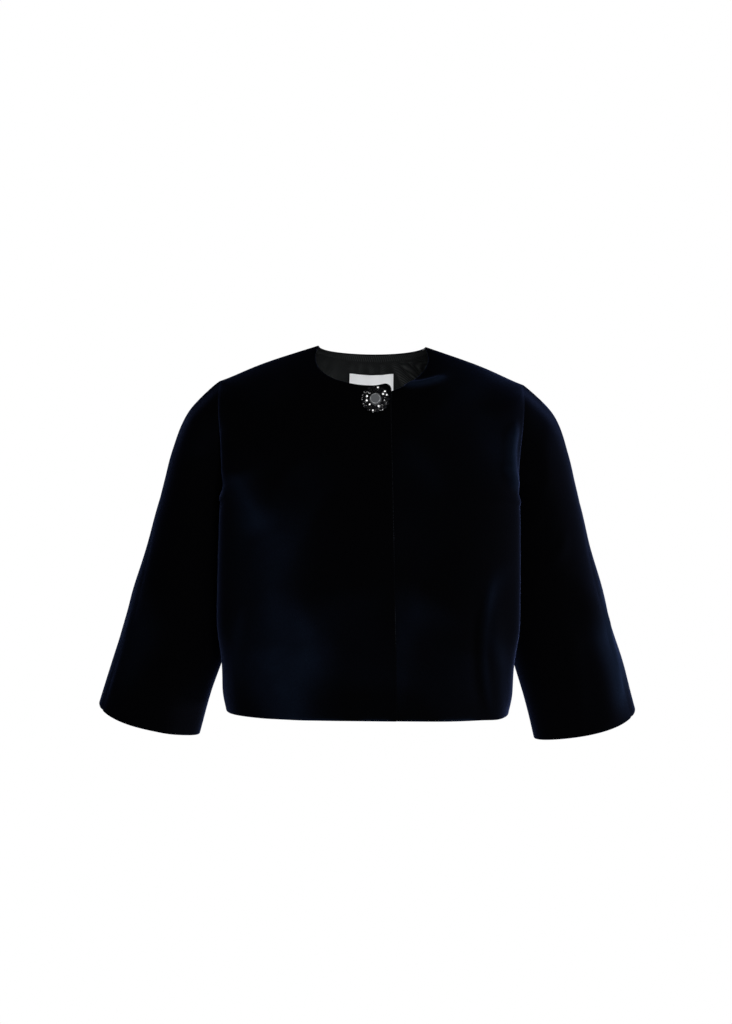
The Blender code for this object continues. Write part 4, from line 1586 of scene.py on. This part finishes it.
@dataclass
class NeckInside:
    """Back neck facing, back lining and blank label."""

    body: Body
    finishes: Finishes
    facing_width: float = 0.010
    facing_rows: int = 8
    facing_light: float = 0.35
    lining_sink: float = 0.0002
    thin_rims: int = 2
    lowest_level: float = 4.0
    side_inset: int = 6
    wave_height: float = 0.003
    wave_count: int = 7
    wave_fall: float = 0.060
    fold_fall: float = 0.012
    folds: tuple[LiningFold, ...] = (
        LiningFold(-0.002, 0.05, 0.0035, 0.0026),
        LiningFold(-0.015, -0.04, 0.0040, 0.0024),
        LiningFold(-0.028, 0.10, 0.0034, 0.0016),
        LiningFold(0.013, 0.12, 0.0036, 0.0028),
        LiningFold(0.026, 0.45, 0.0034, 0.0030),
        LiningFold(0.037, 0.65, 0.0032, 0.0034),
        LiningFold(0.049, 0.75, 0.0036, 0.0030),
        LiningFold(-0.043, -0.35, 0.0050, 0.0016),
        LiningFold(-0.058, -0.30, 0.0045, 0.0014),
    )
    label_half_width: float = 0.0297
    label_height: float = 0.030
    label_top: float = 0.0200
    label_thick: float = 0.0006
    label_hang: float = 0.003
    label_rows: int = 24
    label_columns: int = 48
    label_ease: float = 0.007
    ripple_height: float = 0.0010
    ripple_level: float = 1.2
    ripple_turn: float = 260.0
    ripple_start: float = 0.7
    ripple_swell: float = 90.0
    thread_lift: float = 0.0001
    tack_rows: int = 6
    stitch_inset: float = 0.0016
    stitch_reach: float = 0.92
    tack_margin: float = 0.1
    label_stitch: StitchSize = StitchSize(0.0017, 0.00022, 0.0024)
    facing_stitch: StitchSize = StitchSize(0.0019, 0.0002, 0.0027)

    def seat(self) -> np.ndarray:
        """The back moved in to where its lining lies."""
        return raised(self.body.back_points(), -CUT.lining_seat)

    def twill(self, name: str, grid: np.ndarray, sewn: tuple[Border, ...], nap: np.ndarray) -> Object:
        """Builds a shell of the lining's twill.

        Args:
            name: the piece's name.
            grid: its points.
            sewn: its sewn borders.
            nap: the share of painted light at each point, 0 giving painted shade.

        Returns:
            The piece.
        """
        rims, sink = self.thin_rims, self.lining_sink
        shell = Shell(name, grid, sewn, nap, CUT.lining, rim_steps=rims, seam_sink=sink)
        return shell.build(self.finishes.lining, self.finishes.lining)

    def facing(self, seat: np.ndarray) -> None:
        """Builds the narrow band inside the back neck.

        Args:
            seat: where the lining lies.
        """
        band = down_columns(seat, np.linspace(self.facing_width, 0.0, self.facing_rows + 1))
        light = np.full(band.shape[:-1], self.facing_light)
        piece = self.twill("neck_facing_cloth", band, (Border.LEFT, Border.RIGHT, Border.BOTTOM), light)
        dress_cloth(piece, "lining_twill", "back_neck_facing")

    def lining(self, seat: np.ndarray) -> np.ndarray:
        """Builds the back lining with its folds.

        Args:
            seat: where the lining lies.

        Returns:
            The lining's grid.
        """
        inset = slice(self.side_inset, -self.side_inset)
        lining = seat[self.body.cut.levels() >= self.lowest_level][:, inset]
        top = down_columns(seat, [self.facing_width + CUT.seam_gap])[0, inset]
        below = lining[:, lining.shape[1] // 2, 2] < top[len(top) // 2, 2]
        lining = np.concatenate((lining[below], top[None]))
        across = np.linspace(0.0, 1.0, lining.shape[1])
        down = grid_lengths(lining[::-1], 0)[::-1]
        wave = np.sin(across * math.pi * self.wave_count) ** 2 * np.sin(across * math.pi)
        heights = self.wave_height * soft_step(down / self.wave_fall) * wave
        for fold in self.folds:
            away = (lining[..., 0] - (fold.across + fold.slant * down)) / fold.width
            heights = heights + fold.height * soft_step(down / self.fold_fall) * np.exp(-(away**2))
        lining = raised(lining, -heights)
        # The folds' heights as a share: painted light on their crests and painted shade in their hollows
        piece = self.twill("back_lining_cloth", lining, (Border.TOP,), heights / heights.max())
        dress_cloth(piece, "lining_twill", "back_lining")
        return lining

    def label(self, lining: np.ndarray) -> np.ndarray:
        """Builds the blank label, sewn to the lining along its top edge.

        Args:
            lining: the lining's grid.

        Returns:
            The label's grid.
        """
        distances = np.linspace(self.label_top + self.label_height, self.label_top, self.label_rows + 1)
        widths = np.linspace(self.label_half_width, -self.label_half_width, self.label_columns + 1)
        under = np.stack([across_widths(row, widths) for row in down_columns(lining, distances)])
        share = np.exp(-(((widths[:, None] - widths) / self.label_ease) ** 2))
        grid = np.einsum("ij,rjk->rik", share / share.sum(axis=1, keepdims=True), under)
        grid[..., 0] = under[..., 0]
        grid[..., 1] -= np.maximum(grid[..., 1] - under[..., 1], 0.0).max(axis=1, keepdims=True)
        free = np.linspace(1.0, 0.0, self.label_rows + 1)[:, None]
        hang = CUT.lining / 2 + self.label_thick / 2 + CUT.seam_gap + self.label_hang * free
        swell = np.sin(widths * self.ripple_turn + self.ripple_start) * np.cos(widths * self.ripple_swell)
        grid = raised(grid, -(hang + self.ripple_height * free * (self.ripple_level + swell)))
        shell = Shell("label_ribbon", grid, thick=self.label_thick, rim_steps=self.thin_rims)
        piece = shell.build(self.finishes.label, self.finishes.label)
        dress_cloth(piece, "label_satin", "label")
        return grid

    def label_thread(self, label: np.ndarray) -> None:
        """Sews the label's top edge and the upper ends of its sides.

        Args:
            label: the label's grid.
        """
        face = raised(label, -(self.label_thick / 2 + self.thread_lift))
        tack = face[-self.tack_rows - 1 : -1]
        sewn = Stitches("label_stitches", self.finishes.white_thread, self.label_stitch)
        dress(sewn.build([face[-2, 1:-1], tack[:, 1], tack[:, -2]]), "label_satin")

    def facing_thread(self, seat: np.ndarray) -> None:
        """Sews the facing along its lower edge and at its middle.

        Args:
            seat: where the lining lies.
        """
        lift = CUT.lining / 2 + self.thread_lift
        line = down_columns(seat, [self.facing_width - self.stitch_inset])[0]
        line = line[np.abs(line[:, 0]) < CUT.neck_half_width * self.stitch_reach]
        line = raised(np.stack((line - (0.0, 0.0, self.stitch_inset), line)), -lift)[1]
        centre = seat.shape[1] // 2
        ends = (self.facing_width * (1.0 - self.tack_margin), self.facing_width * self.tack_margin)
        tacks = down_columns(seat[:, centre - 1 : centre + 2], np.linspace(*ends, self.facing_rows))
        run = Stitches("facing_stitches", self.finishes.dark_thread, self.facing_stitch)
        dress(run.build([line, raised(tacks, -lift)[:, 1]]), "lining_twill")

    def build(self) -> None:
        """Builds facing, lining, label and their stitches."""
        seat = self.seat()
        self.facing(seat)
        label = self.label(self.lining(seat))
        self.label_thread(label)
        self.facing_thread(seat)


def group(name: str, **inputs: str) -> tuple[Tree, dict[str, NodeSocket]]:
    """Starts a geometry node group.

    Args:
        name: the group's name.
        inputs: the kind of each input after the geometry, by its name.

    Returns:
        The group and its inputs by name.
    """
    tree = bpy.data.node_groups.new(name, "GeometryNodeTree")
    for way in ("INPUT", "OUTPUT"):
        tree.interface.new_socket("Geometry", in_out=way, socket_type="NodeSocketGeometry")
    for label, kind in inputs.items():
        tree.interface.new_socket(label, in_out="INPUT", socket_type=f"NodeSocket{kind}")
    helper = Tree(tree)
    given = helper.node("NodeGroupInput").outputs
    return helper, {label: given[label] for label in ("Geometry", *inputs)}


def finish_group(helper: Tree, instances: NodeSocket, finish: NodeSocket) -> NodeTree:
    """Ends a node group: makes its instances real and gives them their finish.

    Args:
        helper: the group.
        instances: what it has set out.
        finish: the finish.

    Returns:
        The group's tree.
    """
    real = helper.node("GeometryNodeRealizeInstances", {"Geometry": instances})
    painted = helper.node("GeometryNodeSetMaterial", {"Geometry": real.outputs[0], "Material": finish})
    helper.node("NodeGroupOutput", {"Geometry": painted.outputs[0]})
    return helper.tree


def grown(piece: Object, tree: NodeTree, **values: object) -> Object:
    """Runs a node group on a piece and keeps the result as its plain mesh.

    Args:
        piece: the piece that the group works on.
        tree: the group.
        values: its inputs by name.

    Returns:
        The piece with its new mesh.
    """
    modifier = piece.modifiers.new("grown", "NODES")
    modifier.node_group = tree
    for item in tree.interface.items_tree:
        if item.name in values:
            modifier[item.identifier] = values[item.name]
    bpy.context.view_layer.update()
    graph = bpy.context.evaluated_depsgraph_get()
    mesh = bpy.data.meshes.new_from_object(piece.evaluated_get(graph))
    mesh.name = piece.name
    piece.modifiers.remove(modifier)
    piece.data = mesh
    return piece


@dataclass
class Stitches:
    """Thread stitches along lines."""

    name: str
    finish: Material
    size: StitchSize
    rounding: int = 2

    def tree(self) -> NodeTree:
        """Makes the node group that sets a stitch at even steps along each line.

        Returns:
            The group.
        """
        helper, given = group(
            f"{self.name}_nodes", Spacing="Float", Length="Float", Thickness="Float", Thread="Material"
        )
        line = helper.node("GeometryNodeMeshToCurve", {"Mesh": given["Geometry"]})
        steps = {"Curve": line.outputs[0], "Length": given["Spacing"]}
        spots = helper.node("GeometryNodeCurveToPoints", steps, mode="LENGTH")
        bead = helper.node("GeometryNodeMeshIcoSphere", {"Radius": 0.5, "Subdivisions": self.rounding})
        smooth = helper.node("GeometryNodeSetShadeSmooth", {"Geometry": bead.outputs[0]})
        sides = {"X": given["Thickness"], "Y": given["Thickness"], "Z": given["Length"]}
        set_out = helper.node(
            "GeometryNodeInstanceOnPoints",
            {
                "Points": spots.outputs["Points"],
                "Instance": smooth.outputs[0],
                "Rotation": spots.outputs["Rotation"],
                "Scale": helper.node("ShaderNodeCombineXYZ", sides).outputs[0],
            },
        )
        return finish_group(helper, set_out.outputs[0], given["Thread"])

    def build(self, lines: list[np.ndarray]) -> Object:
        """Sets the stitches along the lines.

        Args:
            lines: the points of each line.

        Returns:
            The piece.
        """
        edges, first = [], 0
        for line in lines:
            edges += [(first + step, first + step + 1) for step in range(len(line) - 1)]
            first += len(line)
        mesh = bpy.data.meshes.new(self.name)
        mesh.from_pydata(np.concatenate(lines).tolist(), edges, [])
        sizes = dict(zip(("Length", "Thickness", "Spacing"), self.size))
        return grown(new_piece(self.name, mesh), self.tree(), Thread=self.finish, **sizes)


@dataclass
class Button:
    """The jewelled button on the lap: setting, centre stone, rings of crystals and their prongs."""

    finishes: Finishes
    cut: BodyCut
    across: float = 0.005
    drop: float = 0.0735
    radius: float = 0.0165
    thick: float = 0.0022
    dish_sides: int = 64
    sharp_from: float = 50.0
    foot_radius: float = 0.004
    foot: float = 0.0016
    foot_rings: Profile = ((1.0, 0.0), (0.9, 0.5), (1.0, 1.0))
    rim_rings: Profile = ((0.90, 0.0), (0.97, 0.2), (1.0, 0.55), (0.985, 0.9), (0.95, 1.0))
    collar_rings: Profile = ((1.12, 0.0), (1.10, 0.0009), (1.03, 0.0010), (1.01, 0.0))
    stone_radius: float = 0.0082
    stone_height: float = 0.0042
    stone_sides: int = 16
    stone_lean: float = 80.0
    stone_oval: float = 0.035
    stone_corner: float = 0.020
    stone_rings: Profile = ((0.90, 0.0), (0.98, 0.30), (0.96, 0.50), (0.80, 0.86), (0.74, 0.92))
    # Painted highlight on the stone's bevel: its band of faces, how light it is and how it varies round
    bevel_band: int = 3
    bevel_light: float = 0.55
    bevel_play: float = 0.35
    bevel_step: float = 1.9
    crystal_sides: int = 8
    crystal_tilt: float = 0.06
    crystal_rings: Profile = ((0.80, 0.0), (0.99, 0.42), (0.99, 0.54), (0.78, 0.82), (0.50, 1.0))
    # Share of crystal facets with a painted glint, and how bright it is
    bright_facets: float = 0.10
    facet_light: float = 0.70
    first_seed: int = 3
    prong_count: int = 29
    prong_size: float = 0.00055
    prong_sides: int = 8
    prong_ring: float = 0.01375
    prong_rings: Profile = ((1.0, 0.0), (1.0, 0.0014), (0.7, 0.0019), (0.2, 0.0021))

    @property
    def base(self) -> float:
        """Height of the dish's face above the cloth."""
        return self.foot + self.thick

    def place(self) -> tuple[np.ndarray, np.ndarray]:
        """Finds the button's seat on the lap.

        Returns:
            The seat, and the button's axes with the last one pointing out.
        """
        centre = np.stack([section[0] for section in self.cut.sections(Facing.FRONT)])[::-1]
        spots = (self.drop, self.drop - self.radius, self.drop + self.radius)
        out, above, below = np.interp(spots, -centre[:, 2], centre[:, 1])
        up = unit(np.array((0.0, above - below, 2.0 * self.radius)))
        sideways = np.array((1.0, 0.0, 0.0))
        normal = np.cross(sideways, up)
        lift = CUT.lap_raise + CUT.wall / 2 + CUT.seam_gap
        seat = np.array((self.across, out, -self.drop)) + normal * lift
        return seat, np.stack((sideways, up, normal))

    def rings(self, shares: Profile, radius: float, base: float, height: float = 1.0) -> Profile:
        """Radius and height of each ring of a turned shape, from its shares of a radius and a height."""
        return tuple((radius * wide, base + height * high) for wide, high in shares)

    def turned(self, name: str, profile: Profile, sides: int) -> Mesh:
        """Makes a closed turned mesh.

        Args:
            name: the mesh's name.
            profile: radius and height of each ring, from the back to the front.
            sides: faces round it.

        Returns:
            The mesh, about the button's own axis.
        """
        angles = np.arange(sides) * 2.0 * math.pi / sides
        points = [(r * math.cos(a), r * math.sin(a), h) for r, h in profile for a in angles]
        faces = []
        for low in range(0, (len(profile) - 1) * sides, sides):
            for step in range(sides):
                after = (step + 1) % sides
                faces.append((low + step, low + after, low + sides + after, low + sides + step))
        faces.append(tuple(reversed(range(sides))))
        faces.append(tuple(range(len(points) - sides, len(points))))
        mesh = bpy.data.meshes.new(name)
        mesh.from_pydata(points, [], faces)
        mesh.update()
        return mesh

    def seated(self, piece: Object) -> Object:
        """Moves a piece made about the button's axis to its seat.

        Args:
            piece: the piece.

        Returns:
            The same piece.
        """
        seat, axes = self.place()
        points = np.zeros(len(piece.data.vertices) * 3)
        piece.data.vertices.foreach_get("co", points)
        piece.data.vertices.foreach_set("co", (seat + points.reshape(-1, 3) @ axes).reshape(-1))
        piece.data.update()
        return piece

    def foil(self, mesh: Mesh, tones: np.ndarray) -> None:
        """Gives each facet its share of painted glint."""
        layer = mesh.attributes.new("foil", "FLOAT", "FACE")
        layer.data.foreach_set("value", tones.astype(np.float32))

    def setting(self) -> None:
        """Builds the metal dish with a rounded rim, a collar for the stone and a shank."""
        profile = self.rings(self.foot_rings, self.foot_radius, 0.0, self.foot)
        profile += self.rings(self.rim_rings, self.radius, self.foot, self.thick)
        profile += self.rings(self.collar_rings, self.stone_radius, self.base)
        mesh = self.turned("button_dish", profile, self.dish_sides)
        mesh.materials.append(self.finishes.metal)
        mesh.shade_smooth()
        mesh.set_sharp_from_angle(angle=math.radians(self.sharp_from))
        dress(self.seated(new_piece("button_dish", mesh)), "dark_metal", "button_setting")

    def stone(self) -> None:
        """Builds the grey stone with a broad flat table and a bevelled rim."""
        profile = self.rings(self.stone_rings, self.stone_radius, self.base + CUT.seam_gap, self.stone_height)
        mesh = self.turned("button_centre_stone", profile, self.stone_sides)
        for vertex in mesh.vertices:
            turn = math.atan2(vertex.co.y, vertex.co.x) - math.radians(self.stone_lean)
            share = 1.0 + self.stone_oval * math.cos(2.0 * turn) + self.stone_corner * math.cos(4.0 * turn)
            vertex.co.x *= share
            vertex.co.y *= share
        mesh.materials.append(self.finishes.stone)
        # Painted highlight: the bevel band is painted lighter, unevenly round the stone
        tones = np.zeros((len(self.stone_rings) - 1, self.stone_sides))
        play = np.sin(np.arange(self.stone_sides) * self.bevel_step)
        tones[self.bevel_band] = self.bevel_light + self.bevel_play * play
        self.foil(mesh, np.append(tones, (0.0, 0.0)))
        dress(self.seated(new_piece("button_centre_stone", mesh)), "grey_glass", "button_stone")

    def ring_tree(self) -> NodeTree:
        """Makes the node group that sets copies of a small piece in a ring, each a little turned.

        Returns:
            The group.
        """
        sizes = {"Count": "Int", "Radius": "Float", "Tilt": "Float", "Seed": "Int"}
        helper, given = group("ring_of_pieces", **sizes, Piece="Object", Finish="Material")
        ring = helper.node("GeometryNodeMeshCircle", {"Vertices": given["Count"], "Radius": given["Radius"]})
        piece = helper.node("GeometryNodeObjectInfo", {"Object": given["Piece"], "As Instance": True})
        tilt = given["Tilt"]
        back = helper.times(tilt, -1.0)
        low = helper.node("ShaderNodeCombineXYZ", {"X": back, "Y": back, "Z": 0.0})
        high = helper.node("ShaderNodeCombineXYZ", {"X": tilt, "Y": tilt, "Z": 2.0 * math.pi})
        ends = {0: low.outputs[0], 1: high.outputs[0], "Seed": given["Seed"]}
        turns = helper.node("FunctionNodeRandomValue", ends, data_type="FLOAT_VECTOR")
        rotation = helper.node("FunctionNodeEulerToRotation", {0: turns.outputs[0]}).outputs[0]
        set_out = helper.node(
            "GeometryNodeInstanceOnPoints",
            {"Points": ring.outputs[0], "Instance": piece.outputs["Geometry"], "Rotation": rotation},
        )
        return finish_group(helper, set_out.outputs[0], given["Finish"])

    def ring(self, name: str, source: Mesh, **values: object) -> Object:
        """Sets a ring of copies of a small mesh on the button.

        Args:
            name: the piece's name.
            source: the mesh that is copied.
            values: the ring's count, radius, tilt, seed and finish.

        Returns:
            The piece.
        """
        single = new_piece(f"{name}_single", source)
        piece = new_piece(name, bpy.data.meshes.new(name))
        grown(piece, self.ring_tree(), Piece=single, **values)
        bpy.data.objects.remove(single)
        return self.seated(piece)

    def crystals(self, row: CrystalRow, seed: int) -> None:
        """Builds one ring of cut crystals.

        Args:
            row: the ring.
            seed: the seed of its turns and of the facets with painted glints.
        """
        profile = self.rings(self.crystal_rings, row.size, self.base + CUT.seam_gap, row.height)
        source = self.turned(f"{row.node}_cut", profile, self.crystal_sides)
        sizes = {"Count": row.count, "Radius": row.radius, "Tilt": self.crystal_tilt, "Seed": seed}
        piece = self.ring(f"{row.node}s", source, Finish=self.finishes.crystal, **sizes)
        # Painted glints: the tables of the listed crystals and a few random facets are painted bright
        chance = np.random.default_rng(seed).random(len(piece.data.polygons))
        table = np.array([len(face.vertices) == self.crystal_sides for face in piece.data.polygons])
        number = np.arange(len(table)) * row.count // len(table)
        facets = np.where(chance < self.bright_facets, self.facet_light, 0.0)
        self.foil(piece.data, np.where(table, np.isin(number, row.glinting), facets))
        dress(piece, "black_glass", *(f"{row.node}_{number:02d}" for number in range(1, row.count + 1)))

    def prongs(self, seed: int) -> None:
        """Builds the small metal beads between the crystals.

        Args:
            seed: the seed of their turns.
        """
        profile = self.rings(self.prong_rings, self.prong_size, self.base)
        source = self.turned("prong_cut", profile, self.prong_sides)
        sizes = {"Count": self.prong_count, "Radius": self.prong_ring, "Tilt": 0.0, "Seed": seed}
        dress(self.ring("button_prongs", source, Finish=self.finishes.metal, **sizes), "dark_metal")

    def build(self) -> None:
        """Builds the button's pieces."""
        self.setting()
        self.stone()
        for seed, row in enumerate(CRYSTAL_ROWS, start=self.first_seed):
            self.crystals(row, seed)
        self.prongs(self.first_seed + len(CRYSTAL_ROWS))


@dataclass
class Studio:
    """Pale round floor, soft lamps, white surroundings and the camera."""

    floor_drop: float = 1.35
    floor_radius: float = 1.4
    floor_sides: int = 128
    ambient: float = 0.10
    image_height: int = 1024
    pixel: float = 0.00132
    distance: float = 2.8
    camera_drop: float = 0.10
    aim_across: float = -0.005
    aim_drop: float = 0.2185
    roll: float = 0.75
    sensor: float = 36.0
    lamps: tuple[Lamp, ...] = (
        Lamp("lamp_right", (2.3, 0.3, -0.8), (0.1, 0.0, -0.25), 1.2, 205.0, (0.82, 0.89, 1.0)),
        Lamp("lamp_left", (-1.9, -1.7, -0.5), (-0.1, 0.0, -0.35), 0.9, 6.5),
        Lamp("lamp_front", (0.7, -2.75, 0.7), (0.0, 0.0, -0.2), 1.0, 71.0),
        Lamp("lamp_top", (0.3, -1.2, 2.2), (0.0, 0.0, -0.2), 1.6, 4.0),
        Lamp("lamp_back", (-0.3, 2.8, 0.2), (0.0, 0.0, -0.25), 1.2, 60.0),
        Lamp("lamp_floor", (0.0, 0.0, -0.70), (0.0, 0.0, -1.35), 1.6, 12.0),
    )

    def floor(self) -> None:
        """Builds the floor."""
        angles = np.arange(self.floor_sides) * 2.0 * math.pi / self.floor_sides
        circle = self.floor_radius * np.stack((np.cos(angles), np.sin(angles)), axis=1)
        mesh = bpy.data.meshes.new("floor")
        mesh.from_pydata([(x, y, -self.floor_drop) for x, y in circle], [], [tuple(range(self.floor_sides))])
        mesh.materials.append(Paper().material())
        new_piece("floor", mesh)

    def light(self) -> None:
        """Sets the lamps and the pale surroundings."""
        for lamp in self.lamps:
            data = bpy.data.lights.new(lamp.name, "AREA")
            data.energy = lamp.watts
            data.size = lamp.size
            data.color = lamp.colour
            item = bpy.data.objects.new(lamp.name, data)
            item.location = lamp.place
            item.rotation_euler = (Vector(lamp.aim) - Vector(lamp.place)).to_track_quat("-Z", "Y").to_euler()
            bpy.context.scene.collection.objects.link(item)
        world = bpy.data.worlds.new("studio")
        world.use_nodes = True
        tree = Tree(world.node_tree)
        lit, seen = (
            tree.node("ShaderNodeBackground", {"Color": (*WHITE, 1.0), "Strength": strength}).outputs[0]
            for strength in (self.ambient, 1.0)
        )
        from_camera = tree.node("ShaderNodeLightPath").outputs["Is Camera Ray"]
        mix = tree.node("ShaderNodeMixShader", {0: from_camera, 1: lit, 2: seen})
        world.node_tree.links.new(mix.outputs[0], world.node_tree.nodes["World Output"].inputs["Surface"])
        bpy.context.scene.world = world
        bpy.context.scene.view_settings.view_transform = "Standard"

    def camera(self) -> None:
        """Sets the camera in front of the jacket."""
        data = bpy.data.cameras.new("camera")
        data.sensor_width = self.sensor
        data.lens = self.distance / self.pixel * self.sensor / self.image_height
        item = bpy.data.objects.new("camera", data)
        item.location = (self.aim_across, -self.distance, -self.camera_drop)
        look = Vector((0.0, self.distance, self.camera_drop - self.aim_drop))
        roll = Quaternion((0.0, 0.0, 1.0), math.radians(self.roll))
        item.rotation_mode = "QUATERNION"
        item.rotation_quaternion = look.to_track_quat("-Z", "Y") @ roll
        bpy.context.scene.collection.objects.link(item)
        bpy.context.scene.camera = item

    def build(self) -> None:
        """Sets up floor, lamps and camera."""
        self.floor()
        self.light()
        self.camera()


def main() -> None:
    """Builds the jacket's pieces in order, then the studio."""
    logging.basicConfig(level=logging.INFO, format="%(name)s %(message)s")
    finishes = Finishes.make()
    cut = BodyCut()
    body = Body(cut, finishes)
    for side in Side:
        body.front(side)
    body.back()
    armhole = cut.armhole()
    for side in Side:
        Sleeve(side, armhole, finishes).build()
    NeckInside(body, finishes).build()
    Button(finishes, cut).build()
    Studio().build()


if __name__ == "__main__":
    main()
